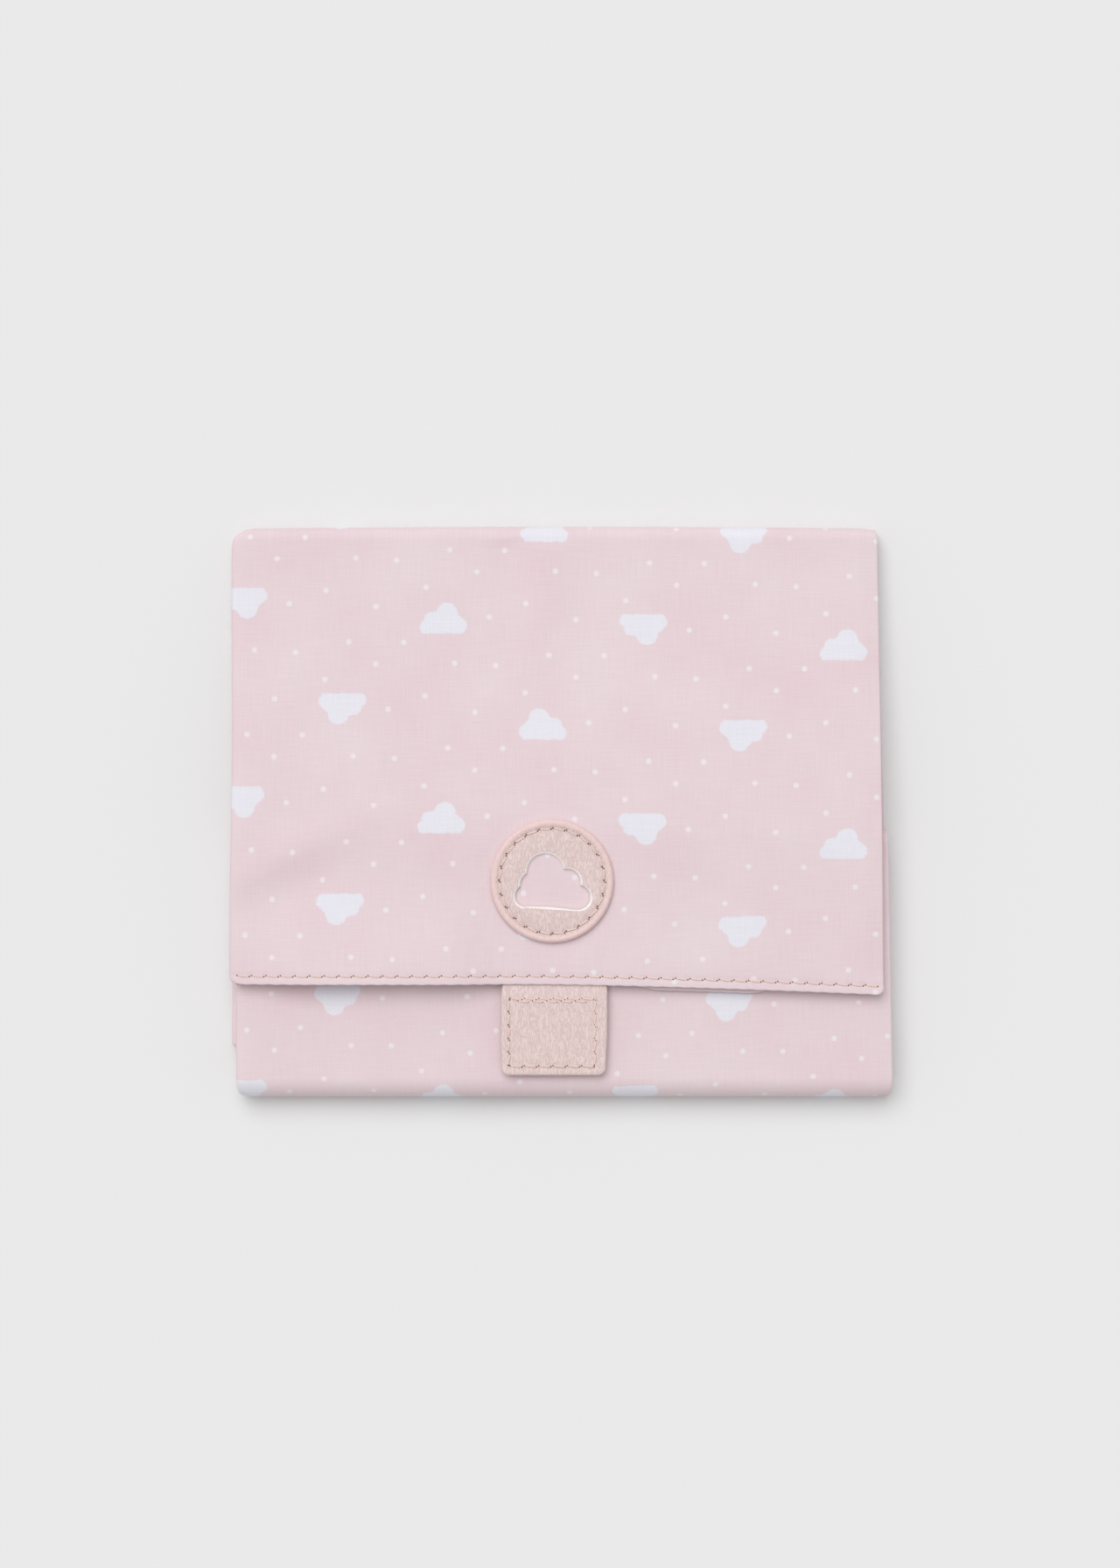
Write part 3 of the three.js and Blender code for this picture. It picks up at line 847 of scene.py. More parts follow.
    def surface(
        self,
        station: np.ndarray,
        across: np.ndarray,
        level: np.ndarray,
        side: np.ndarray,
        bulge: np.ndarray,
    ) -> tuple[np.ndarray, np.ndarray]:
        """Places points on the folded mat: the middle line plus the level times the half thickness.

        The cloth thins to its seam allowance near a hem and closes in a quarter round at its end.

        Args:
            station: stations along the strip.
            across: 0 at the left edge to 1 at the right, between the rounds of the edges.
            level: 1 on the outer printed face, 0 between the halves, -1 on the inner printed face.
            side: 0 on the outer half, 1 on the inner half.
            bulge: how far past the inset edge a point lies, in half thicknesses, negative on the left.

        Returns:
            Places, and print places, in millimetres.
        """
        y, z, hem = self.path(station, across, side)
        slope_y, slope_z, _ = self.path(np.minimum(station + 1e-4, 6.99999), across, side)
        back_y, back_z, _ = self.path(np.maximum(station - 1e-4, 0), across, side)
        tangent_y, tangent_z = slope_y - back_y, slope_z - back_z
        length = np.maximum(np.hypot(tangent_y, tangent_z), 1e-12)
        normal_y, normal_z = -tangent_z / length, tangent_y / length

        seam = 1 - smooth(0.0, self.hem_zone, hem)
        closing = np.sqrt(np.clip(1 - np.clip((0.5 - hem) / 0.5, 0, 1) ** 2, 0.004, 1))
        middle = (1 + self.slit) * (0.5 - side)
        seam_middle = self.seam_level[0] + (self.seam_level[1] - self.seam_level[0]) * side
        thin = 1 - self.seam_thin * seam
        n = self.half * (middle + (seam_middle - middle) * seam + thin * closing * (level - middle))

        x_left, x_right = self.side_edges(station, y, hem)
        inset_left, inset_right = self.half, 0.5 * self.half
        width = x_right - x_left - inset_left - inset_right
        x = x_left + inset_left + across * width + bulge * np.where(bulge < 0, inset_left, inset_right)

        outer = np.clip(level, 0, 1) ** 3
        face = np.clip(np.abs(level), 0, 1) ** 3
        edge_seam = smooth(0, 7, x_right - x) * smooth(-1, 5, x - x_left)
        n = n - self.edge_pinch * face * (1 - edge_seam) * np.sign(level) * (1 - seam)
        underneath = (station > Stretch.BACK.value) & (station < Stretch.BOTTOM_FOLD.value) & (level > 0)
        over_floor = np.where(underneath, 0.0, 1.0)  # the face on the table lies flat
        bulged = self.relief(x, y, station) * (0.35 + 0.65 * (1 - seam)) * over_floor * smooth(0, 6, z)
        stitches = 0.5 + 0.5 * np.cos(TAU * (x - x_left - 2.5) / self.stitch_pitch)
        pulled = bell(hem - self.stitch_inset, 0.7) * (0.45 + 0.55 * stitches)
        groove = -self.groove_depth * pulled * outer
        scallop = 0.16 * (stitches - 0.5) * (1 - smooth(0, 2.5, hem))
        n = n + groove + 0.12 * (stitches - 0.5) * bell(hem - 1.5, 1.2) * outer
        lift = self.hem_lift(x, y) * (station < 1)
        y_place = y + normal_y * n + scallop * normal_z
        z_place = z + normal_z * n + bulged + lift
        on_top_fold = (station > Stretch.TOP_FOLD.value) & (station < Stretch.BACK.value)
        crown = self.crown * bell(station - 1.5, 0.33) * np.sin(math.pi * np.clip(across, 0, 1))
        y_place = y_place + crown * on_top_fold
        return np.stack([x, y_place, z_place], axis=-1), self.print_place(station, x, side, y)

    def print_place(
        self, station: np.ndarray, x: np.ndarray, side: np.ndarray, y: np.ndarray
    ) -> np.ndarray:
        """The cloth's own places: straight on the flap, then slipping to the front panel's under the back.

        The inner half is the same cloth turned round the left edge, so its places run on past that edge.
        On the front panel the cloth lies turned by a few degrees, with a known cloud at a known place.

        Args:
            station: stations along the strip.
            x: across, in millimetres.
            side: 0 on the outer half, 1 on the inner half.
            y: towards the top fold, in millimetres.

        Returns:
            Print places, in millimetres.
        """
        slack = self.corner_slack * smooth(10, 80, x) * (1 - smooth(-45, 0, y)) * (side < 0.5)
        along = np.where(station < 1, y - slack, np.interp(station, range(8), self.run()))
        pivot = np.interp(station, range(8), self.left) + self.half
        turn = math.pi * self.half
        own_x = np.where(side <= 0, x, np.where(side >= 1, 2 * pivot - x - turn, pivot - turn * side))
        (ax, ay), (bx, by) = self.printed.along, self.printed.down
        first, second = self.front_cloud_steps
        cloud_x = self.printed.start[0] + first * ax + second * bx
        cloud_y = self.printed.start[1] + first * ay + second * by
        front_y = along - self.run()[4] + self.bottom_fold[0]
        off_x = (own_x - self.front_cloud[0]) / self.front_scale
        off_y = (front_y - self.front_cloud[1]) / self.front_scale
        cos, sin = math.cos(self.front_turn), math.sin(self.front_turn)
        to_x, to_y = cloud_x + off_x * cos + off_y * sin, cloud_y - off_x * sin + off_y * cos
        slip = smooth(2.0, 3.7, station)
        return np.stack([own_x + slip * (to_x - own_x), along + slip * (to_y - along)], axis=-1)

    def run(self) -> list[float]:
        """The cloth's length along the outer face at each whole station, counted from the flap's own y."""
        top, bottom, inner = self.top_fold, self.bottom_fold, self.inner_fold
        lengths = [
            math.pi * (top[2] + self.half),
            top[0] - bottom[0],
            math.pi * (bottom[2] + self.half),
            inner[0] - bottom[0],
            math.pi * (inner[2] + self.half),
            inner[0] - self.end_hem,
        ]
        return [self.flap_hem[0], *(top[0] + np.cumsum([0.0, *lengths])).tolist()]

    def ring(self) -> tuple[np.ndarray, ...]:
        """The section round the doubled mat, as one closed ring.

        The outer face, its right edge, the two lining faces, the inner right edge, the inner face, and the
        round turn at the left.

        Returns:
            For each point: across, level, side, bulge and whether the step after it is lining.
        """
        face = lining = np.linspace(0, 1, self.columns + 1)
        roll = np.linspace(0, math.pi, self.roll_points + 2)[1:-1]
        turn = np.linspace(math.pi, 0, self.turn_points + 2)[1:-1]
        one, slit = np.ones_like, self.slit
        middle, reach = (1 + slit) / 2, (1 - slit) / 2
        parts = [
            (face, one(face), 0 * face, 0 * face, 0),
            (one(roll), middle + reach * np.cos(roll), 0 * roll, np.sin(roll), 0),
            (lining[::-1], slit * one(lining), 0 * lining, -0.5 * (lining[::-1] == 0), 1),
            (lining, -slit * one(lining), one(lining), -0.5 * (lining == 0), 1),
            (one(roll), -middle + reach * np.cos(roll), one(roll), np.sin(roll), 0),
            (face[::-1], -one(face), one(face), 0 * face, 0),
            (0 * turn, np.cos(turn), turn / math.pi, -np.sin(turn), 0),
        ]
        columns = [np.concatenate([part[i] for part in parts]) for i in range(4)]
        return (*columns, np.concatenate([np.full(len(part[0]), part[4]) for part in parts]))

    def end_faces(self) -> list[np.ndarray]:
        """The faces that close an end of the section: strips from face to lining, and the three rounds.

        Returns:
            Each face's corners, as places round the ring.
        """
        count, roll = self.columns + 1, self.roll_points
        face = np.arange(count)
        lining = face[::-1] + count + roll
        other_lining = face + 2 * count + roll
        other_face = face[::-1] + 3 * count + 2 * roll
        strips = []
        for low, high in ((lining, face), (other_face, other_lining)):
            strips += list(np.stack([high[:-1], high[1:], low[1:], low[:-1]], axis=-1))
        first = np.arange(count - 1, count + roll + 1)
        second = np.arange(3 * count + roll - 1, 3 * count + 2 * roll + 1)
        last = other_face[0] + np.arange(self.turn_points + 1)
        left = np.concatenate([[lining[0], other_lining[0]], last, [0]])
        return [*strips, first, second, left]

    def rows(self) -> np.ndarray:
        """The stations of the rows: close together at the hems, then about 2 mm apart."""
        near = np.concatenate([[0.0, 0.04, 0.12, 0.25, 0.4], np.arange(0.6, 9.0, 0.5)])
        flap_length = self.top_fold[0] - self.flap_hem[0]
        end_length = self.inner_fold[0] - self.end_hem
        flap = np.concatenate([near, np.linspace(9.5, flap_length, 75)]) / flap_length
        end = 7 - np.concatenate([near, np.linspace(9.5, end_length, 34)])[::-1] / end_length
        even = [
            start + np.linspace(0, 1, steps + 1)[1:]
            for start, steps in ((1, 16), (2, 94), (3, 24), (4, 42), (5, 14))
        ]
        return np.concatenate([flap, *even, end[1:]])

    def build(self, cotton: bpy.types.Material, lining: bpy.types.Material) -> dict[str, bpy.types.Object]:
        """Makes the five padded pieces, cut at the folds, with one shading over all of them.

        Args:
            cotton: the printed cloth.
            lining: the wipe-clean cloth inside.

        Returns:
            The pieces by name.
        """
        across, level, side, bulge, inside = self.ring()
        stations = self.rows()
        shape = (len(stations), len(across))
        grid = [np.broadcast_to(column, shape) for column in (across, level, side, bulge)]
        station = np.broadcast_to(stations[:, None], grid[0].shape)
        points, places = self.surface(station, *grid)
        hem = self.path(station, grid[0], grid[2])[2]
        round_it = np.roll(points, -1, axis=1) - np.roll(points, 1, axis=1)
        normals = np.cross(round_it, np.gradient(points, axis=0))
        normals /= np.maximum(np.linalg.norm(normals, axis=-1, keepdims=True), 1e-9)
        places = np.concatenate([places, places[:, :1]], axis=1)
        cuts = {
            "padded_flap": Stretch.FLAP,
            "padded_top_fold": Stretch.TOP_FOLD,
            "padded_back": Stretch.BACK,
            "padded_bottom_fold": Stretch.BOTTOM_FOLD,
            "padded_front": Stretch.FRONT,
        }
        ends = [cut.value for cut in cuts.values()][1:] + [7]
        made = {}
        for (name, cut), last in zip(cuts.items(), ends):
            here = (stations >= cut.value - 1e-9) & (stations <= last + 1e-9)
            skin = Skin(name)
            turned = hem[here][:-1] > self.turned_hem
            finish = np.where(turned, inside, 0)
            skin.grid(points[here], places[here], finish, normals[here], self.end_faces())
            made[name] = skin.make([cotton, lining])
        return made

    def bends(self) -> list[tuple[tuple[float, float, float], tuple[float, float, float]]]:
        """Where the top fold and the bottom fold bend: from the table to the height of each fold's top."""
        folds = ((self.top_bend_y, self.top_fold), (self.bottom_bend_y, self.bottom_fold))
        return [((0, y, 0), (0, y, 2 * middle_z)) for y, (_, middle_z, _) in folds]

    def hem_stitches(self, end: bool) -> tuple[np.ndarray, np.ndarray]:
        """The two ends of each stitch of a hem's row.

        Args:
            end: whether it is the hidden end's hem, in place of the flap's.

        Returns:
            First ends and last ends, in millimetres.
        """
        length = (self.inner_fold[0] - self.end_hem) if end else (self.top_fold[0] - self.flap_hem[0])
        width = self.right[7 if end else 0] - self.left[7 if end else 0]
        margin, gap = 2.5, 0.1
        count = int((width - 3) / self.stitch_pitch)
        first = margin + self.stitch_pitch * np.arange(count)
        ends = []
        for offset in (gap, self.stitch_pitch - gap):
            across = (first + offset - self.half) / (width - 1.5 * self.half)
            nil = np.zeros(count)
            share = self.stitch_inset / length
            station = nil + (7 - share if end else share)
            ends.append(self.surface(station, across, nil + 1, nil, nil)[0])
        return ends[0], ends[1]


# ---------------------------------------------------------------- sewing, plates, badge and tab


def sew(
    name: str, first: np.ndarray, last: np.ndarray, finish: bpy.types.Material, radius: float = 0.4
) -> bpy.types.Object:
    """Makes a row of stitches: each a thread that rises from one needle hole and dives into the next.

    A stitch's middle line is a half sine over the straight line between its ends; its section is a circle
    whose radius falls towards the ends.

    Args:
        name: the object's name.
        first: the first end of each stitch, in millimetres.
        last: the last end of each.
        finish: the thread's material.
        radius: the thread's radius, in millimetres.

    Returns:
        The stitches as one object.
    """
    skin = Skin(name)
    t = np.linspace(0, 1, 8)[:, None]
    angle = np.linspace(0, TAU, 9)[None, :-1]
    ring_uv = np.stack(np.broadcast_arrays(np.linspace(0, 1, 9)[None, :], t), axis=-1)
    swell = radius * (0.62 + 0.38 * np.sin(math.pi * t))
    height = radius * (0.75 * np.sin(math.pi * t) ** 0.6 - 0.25)
    slant = 0.22 * np.cos(math.pi * t)
    for start, end in zip(first, last):
        run = (end - start) / np.linalg.norm(end - start)
        side = np.cross([0.0, 0.0, 1.0], run)
        up = np.cross(run, side)
        centre = start + (end - start) * t + up * height + side * slant
        points = (
            centre[:, None]
            + side * (swell * np.cos(angle))[..., None]
            + up * (0.85 * swell * np.sin(angle))[..., None]
        )
        skin.grid(points, ring_uv)
    return skin.make([finish])


def box_stitches(
    left: float, right: float, top: float, bottom: float, pitch: float
) -> tuple[np.ndarray, np.ndarray]:
    """The ends in plan of the stitches round a box, going once round from its top left corner.

    Args:
        left: lowest x, in millimetres.
        right: highest x.
        top: highest y.
        bottom: lowest y.
        pitch: the stitch length aimed for.

    Returns:
        First ends and last ends, as x and y.
    """
    corners = np.array([(left, top), (right, top), (right, bottom), (left, bottom), (left, top)], float)
    first, last = [], []
    for start, end in zip(corners[:-1], corners[1:]):
        count = max(1, round(float(np.linalg.norm(end - start)) / pitch))
        t = np.arange(count)[:, None] / count
        step = (end - start) / count
        first.append(start + (end - start) * t + step * STITCH_GAP)
        last.append(start + (end - start) * t + step * (1 - STITCH_GAP))
    return np.concatenate(first), np.concatenate(last)


@dataclass
class Plate:
    """A flat piece with rounded corners and softened edges: rings of its outline, each further in.

    Attributes:
        name: the object's name.
        left, right, top, bottom: its outline, in millimetres.
        low: height of its underside.
        thick: its thickness.
        corner: radius of its corners.
        groove: distance of a sewn groove from the edge, or 0 for none.
        bow: how far the left and right edges swell at mid length.
        taper: how much narrower the right side is at the bottom.
        root_drop: how far its top end sinks, where it goes in under a hem.
    """

    name: str
    left: float
    right: float
    top: float
    bottom: float
    low: float
    thick: float
    corner: float = 2.5
    groove: float = 0.0
    bow: float = 0.0
    taper: float = 0.0
    root_drop: float = 0.0

    def outline(self, inset: np.ndarray) -> np.ndarray:
        """The outline moved in by each inset: straight sides joined by quarter rounds.

        Args:
            inset: distances in from the edge, one for each ring.

        Returns:
            Rings x points x 2 places.
        """
        inset = inset[:, None]
        radius = np.maximum(self.corner - inset, 0.05)
        parts = []
        corners = ((1, 1, 0.0), (-1, 1, 0.25), (-1, -1, 0.5), (1, -1, 0.75))
        middle = np.array([self.left + self.right, self.top + self.bottom]) / 2
        half = np.array([self.right - self.left, self.top - self.bottom]) / 2
        reach_x, reach_y = half[0] - inset - radius, half[1] - inset - radius
        for (sx, sy, start), (nx, ny, _) in zip(corners, corners[1:] + corners[:1]):
            angle = TAU * (start + np.linspace(0, 0.25, 9))[None, :]
            round_x = middle[0] + sx * reach_x + radius * np.cos(angle)
            round_y = middle[1] + sy * reach_y + radius * np.sin(angle)
            next_x = middle[0] + nx * reach_x + radius * np.cos(angle[:, -1:])
            next_y = middle[1] + ny * reach_y + radius * np.sin(angle[:, -1:])
            t = np.linspace(0, 1, 32)[None, 1:-1]
            side_x = round_x[:, -1:] + (next_x - round_x[:, -1:]) * t
            side_y = round_y[:, -1:] + (next_y - round_y[:, -1:]) * t
            parts += [np.stack([round_x, round_y], -1), np.stack([side_x, side_y], -1)]
        return np.concatenate(parts, axis=1)

    def height(self, inset: np.ndarray) -> np.ndarray:
        """The upper face's height over its underside: full, with a sewn groove pressed in."""
        crown = 1 - 0.12 * bell(inset, 0.8)
        return self.thick * (crown - (0.16 * bell(inset - self.groove, 0.55) if self.groove else 0.0))

    def make(self, finish: bpy.types.Material) -> bpy.types.Object:
        """Makes the plate: rings in over its underside, one round its edge, and rings in over its face."""
        half_width = min(self.right - self.left, self.top - self.bottom) / 2
        inner = np.array([0.0, 0.05, 0.18, 0.4, 0.8, 1.3, 1.8, 2.3, 2.8, 3.3, 4.2, 6.0, 9.0, 13.0])
        inner = np.append(inner[inner < half_width - 0.6], half_width - 0.4)
        soft = min(0.45, self.thick * 0.4)
        lower = inner[::-1]
        insets = np.concatenate([lower, [0.0], inner[1:]])
        rise = np.concatenate(
            [
                soft * (1 - np.sqrt(np.clip(1 - np.clip(1 - lower / soft, 0, 1) ** 2, 0, 1))),
                [self.thick * 0.5],
                self.height(inner[1:]) - soft * np.clip(1 - inner[1:] / soft, 0, 1) ** 2,
            ]
        )
        plan = self.outline(insets)
        t = (self.top - plan[..., 1]) / (self.top - self.bottom)
        middle = (self.left + self.right) / 2
        share = (plan[..., 0] - middle) / (self.right - middle)
        x = plan[..., 0] + share * self.bow * np.sin(math.pi * t) - np.clip(share, 0, 1) * self.taper * t
        z = self.low + np.broadcast_to(rise[:, None], x.shape) - self.root_drop * (1 - smooth(0.0, 0.2, t))
        points = np.stack([x, plan[..., 1], z], axis=-1)
        uv = np.concatenate([points[..., :2], points[:, :1, :2]], axis=1)
        skin = Skin(self.name)
        skin.grid(points, uv)
        return skin.make([finish])


@dataclass
class Badge:
    """The round leatherette badge: a disc with a rolled rim and a cloud-shaped window.

    The window is the union of a few circles seen from its middle, cut off straight at the base.

    Attributes:
        centre: the disc's middle, in millimetres like every size here.
        radius: the disc's radius.
        low: height of its underside.
        thick: its thickness.
        stitch_radius: radius of the ring of stitches.
        stitches: how many stitches go round.
        eye: the window's middle, from the disc's.
        lobes: the window's circles, as x, y and radius.
        base: the two ends of the window's straight base.
        rim_width: how far in the turned rim reaches.
        wall: how the window's wall rises, as steps out from its reach and shares of the thickness.
        rim_steps: distances in from the rim at which the top has a ring.
        flat_to: how far from the rim the flat part of the face ends.
        directions: how many points go round each ring.
    """

    centre: tuple[float, float] = (-3.4, -24.0)
    radius: float = 21.6
    low: float = 19.2
    thick: float = 1.75
    stitch_radius: float = 18.4
    stitches: int = 24
    eye: tuple[float, float] = (-0.5, -3.5)
    lobes: tuple[tuple[float, float, float], ...] = (
        (-9.3, -5.3, 4.2),
        (-6.2, -1.5, 5.5),
        (-2.35, 3.3, 6.85),
        (5.4, -0.5, 5.2),
        (9.4, -5.8, 4.6),
        (-0.5, -3.5, 6.2),
    )
    base: tuple[tuple[float, float], tuple[float, float]] = ((-11.7, -9.0), (10.5, -10.5))
    rim_width: float = 2.2
    wall: tuple[tuple[float, float], ...] = (
        (-0.75, 0.0114),
        (-0.7, 0.25),
        (-0.45, 0.62),
        (-0.2, 0.86),
        (0.1, 0.95),
        (0.55, 0.98),
    )
    rim_steps: tuple[float, ...] = (4.2, 3.8, 3.4, 3.1, 2.8, 2.4, 2.0, 1.6, 1.2, 0.8, 0.5, 0.25, 0.08, 0.0)
    flat_to: float = 4.4
    directions: int = 480

    def window(self, angle: np.ndarray) -> np.ndarray:
        """The window's reach from its eye in each direction.

        Args:
            angle: directions, in radians.

        Returns:
            Distances, in millimetres: the furthest way out of any lobe, or the base line where that is met.
        """
        ux, uy = np.cos(angle), np.sin(angle)
        reach = np.zeros_like(angle)
        for x, y, radius in self.lobes:
            dx, dy = x - self.eye[0], y - self.eye[1]
            along = dx * ux + dy * uy
            inside = along**2 - dx**2 - dy**2 + radius**2
            out = along + np.sqrt(np.maximum(inside, 0))
            reach = np.maximum(reach, np.where(inside >= 0, out, 0))
        (x0, y0), (x1, y1) = self.base
        slope = (y1 - y0) / (x1 - x0)
        drop = y0 + slope * (self.eye[0] - x0) - self.eye[1]
        line = drop / np.where(np.abs(uy - slope * ux) > 1e-6, uy - slope * ux, 1e-6)
        hit = self.eye[0] + line * ux
        under = (line > 0) & (hit > x0 + 2.2) & (hit < x1 - 0.6)
        return np.where(under, line, reach)

    def make(self, finishes: list[bpy.types.Material]) -> bpy.types.Object:
        """Makes the disc: rings from the window's foot, over the top, round the rim and back underneath.

        Args:
            finishes: the skin, the turned rim and the raw cut edge of the window.

        Returns:
            The badge.
        """
        angle = np.linspace(0, TAU, self.directions + 1)[:-1]
        ux, uy = np.cos(angle), np.sin(angle)
        reach = self.window(angle)
        reach = sum(np.roll(reach, shift) for shift in (-1, 0, 1)) / 3

        def rim(distance: float) -> np.ndarray:
            """The reach from the eye to the circle that lies a distance inside the rim."""
            along = -(self.eye[0] * ux + self.eye[1] * uy)
            far = along**2 + (self.radius - distance) ** 2 - self.eye[0] ** 2 - self.eye[1] ** 2
            return along + np.sqrt(far)

        thick, sewn_in = self.thick, self.radius - self.stitch_radius
        rings = [(reach + out, share * thick) for out, share in self.wall]
        rings.append((0.5 * (reach + self.wall[-1][0] + rim(self.flat_to)), 0.94 * thick))
        for distance in self.rim_steps:
            roll = 0.28 * bell(np.array(distance - 1.3), 0.7)
            sewn = -0.3 * bell(np.array(distance - sewn_in), 0.45)
            fall = -thick * 0.5 * max(0.0, 1 - distance / 0.9) ** 2.2
            rings.append((rim(distance), 0.95 * thick + roll + sewn + fall))
        underneath = [(rim(0.0), 0.3 * thick), (rim(0.12), 0.1 * thick), (rim(0.5), 0.0), (reach + 0.5, 0.0)]
        rings += underneath
        reaches = np.stack([np.broadcast_to(r[0], angle.shape) for r in rings])
        heights = np.stack([np.broadcast_to(r[1], angle.shape) for r in rings])
        x = self.centre[0] + self.eye[0] + reaches * ux
        y = self.centre[1] + self.eye[1] + reaches * uy
        stitch = 0.5 + 0.5 * np.cos(self.stitches * np.arctan2(y - self.centre[1], x - self.centre[0]))
        away = self.radius - np.hypot(x - self.centre[0], y - self.centre[1])
        upper = np.arange(len(rings))[:, None] < len(rings) - len(underneath)
        dimple = -0.16 * stitch * bell(away - sewn_in, 0.8) * upper
        ring = np.stack([x, y, self.low + heights + dimple], axis=-1)
        points = np.swapaxes(ring, 0, 1)
        closed = np.concatenate([points, points[:1]], axis=0)
        uv = np.concatenate([closed[..., :2], closed[:, :1, :2]], axis=1)
        skin = Skin("badge")
        skin_only, turned_rim, cut_wall = 0, 1, 2
        finish = np.where(away.mean(axis=1) < self.rim_width, turned_rim, skin_only)
        finish[: len(self.wall) - 2] = cut_wall
        skin.grid(closed, uv, finish, caps=[])
        made = skin.make(finishes)
        weld(made)
        return made

    def sewing(self) -> tuple[np.ndarray, np.ndarray]:
        """The ends of the stitches round the badge."""
        ends = []
        for share in (STITCH_GAP, 1 - STITCH_GAP):
            angle = TAU * (np.arange(self.stitches) + share) / self.stitches
            x = self.centre[0] + self.stitch_radius * np.cos(angle)
            y = self.centre[1] + self.stitch_radius * np.sin(angle)
            ends.append(np.stack([x, y, np.full_like(x, self.low + 0.82 * self.thick)], axis=-1))
        return ends[0], ends[1]


def weld(made: bpy.types.Object) -> None:
    """Merges the vertices where a ring of rings meets itself."""
    mesh = bmesh.new()
    mesh.from_mesh(made.data)
    bmesh.ops.remove_doubles(mesh, verts=mesh.verts, dist=1e-6)
    mesh.to_mesh(made.data)
    mesh.free()


# ---------------------------------------------------------------- studio


SQUARE = ((-1, -1), (1, -1), (1, 1), (-1, 1))  # the floor's corners, going round


@dataclass
class Studio:
    """A pale floor, an even sky, a broad soft light from the top left, and a camera looking straight down.

    Attributes:
        lens, sensor: the camera's focal length and film width, in millimetres.
        view_height: how much of the floor the picture is tall, in millimetres.
        look_at: the place under the camera, in millimetres.
        focus_z: the height at which view_height holds.
        floor: the floor's colour.
        floor_reach: how far the floor runs each way, in metres.
        sky: the strength of the even light.
        key: the strength of the soft light.
        key_angle: how wide the soft light is, in degrees; wide gives soft shadows.
        key_turn: how far it leans towards the top and the left, in degrees.
    """

    lens: float = 85.0
    sensor: float = 36.0
    view_height: float = 548.0
    look_at: tuple[float, float] = (-0.6, 9.9)
    focus_z: float = 19.0
    floor: str = "#e9e9e9"
    floor_reach: float = 20.0
    sky: float = 0.51
    key: float = 1.78
    key_angle: float = 48.0
    key_turn: tuple[float, float] = (-26.0, -12.0)

    def camera(self) -> None:
        """Makes the camera, straight over the pad, so far up that its view is as tall as it should be."""
        data = bpy.data.cameras.new("camera")
        data.lens, data.sensor_width = self.lens, self.sensor
        made = bpy.data.objects.new("camera", data)
        bpy.context.scene.collection.objects.link(made)
        away = self.view_height * self.lens / self.sensor
        made.location = (self.look_at[0] * MM, self.look_at[1] * MM, (self.focus_z + away) * MM)
        bpy.context.scene.camera = made

    def set_up(self) -> None:
        """Makes the floor and the lights."""
        scene = bpy.context.scene
        scene.view_settings.view_transform = "Standard"
        world = bpy.data.worlds.new("sky")
        scene.world = world
        world.use_nodes = True
        sky = world.node_tree.nodes["Background"]
        sky.inputs["Color"].default_value = linear("#ffffff")
        sky.inputs["Strength"].default_value = self.sky
        key = bpy.data.lights.new("soft_key", "SUN")
        key.energy, key.angle = self.key, math.radians(self.key_angle)
        lamp = bpy.data.objects.new("soft_key", key)
        lamp.rotation_euler = (*(math.radians(turn) for turn in self.key_turn), 0.0)
        scene.collection.objects.link(lamp)
        mesh = bpy.data.meshes.new("floor")
        corners = [(x * self.floor_reach, y * self.floor_reach, 0) for x, y in SQUARE]
        mesh.from_pydata(corners, [], [(0, 1, 2, 3)])
        floor = bpy.data.objects.new("floor", mesh)
        made, _, shader = new_material("matt_painted_board")
        shader.inputs["Base Color"].default_value = linear(self.floor)
        shader.inputs["Roughness"].default_value = 0.95
        shader.inputs["Specular IOR Level"].default_value = 0.1
        mesh.materials.append(made)
        scene.collection.objects.link(floor)
        floor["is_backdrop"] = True


# ---------------------------------------------------------------- the whole pad


def seat(piece: bpy.types.Object, body: str, slot: str, *nodes: str) -> None:
    """Rides a piece on a body and hides the parts that it stands for.

    Args:
        piece: the piece.
        body: the body that it moves with.
        slot: the finish's slot; not used.
        nodes: the parts that it stands for.
    """
    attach(piece, body)
    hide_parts(*nodes)
    LOG.info("%s rides on %s", piece.name, body)


def span(
    piece: bpy.types.Object,
    bodies: tuple[str, str],
    start: tuple[float, float, float],
    end: tuple[float, float, float],
    slot: str,
    *nodes: str,
) -> None:
    """Fixes a piece's place into its mesh and hides the parts that it stands for; the two bodies are only
    logged.

    Args:
        piece: the piece.
        bodies: the body at the start and the body at the end.
        start, end: where the bend begins and ends, in millimetres; not used.
        slot: the finish's slot; not used.
        nodes: the parts that it stands for.
    """
    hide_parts(*nodes)
    tuple(MM * v for v in start)
    tuple(MM * v for v in end)
    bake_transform(piece)
    LOG.info("%s bends from %s to %s", piece.name, *bodies)


def panel(name: str) -> list[str]:
    """The names of a panel's plies."""
    plies = ("shell", "wadding", "lining")
    turns = [f"{name}_side_turn_shell", f"{name}_side_turn_wadding"]
    return [f"{name}_{level}_{ply}" for level in ("lower", "upper") for ply in plies] + turns


def fold(name: str) -> list[str]:
    """The names of a fold's plies."""
    return [f"{name}_outer_shell", f"{name}_padding", f"{name}_inner_shell"]


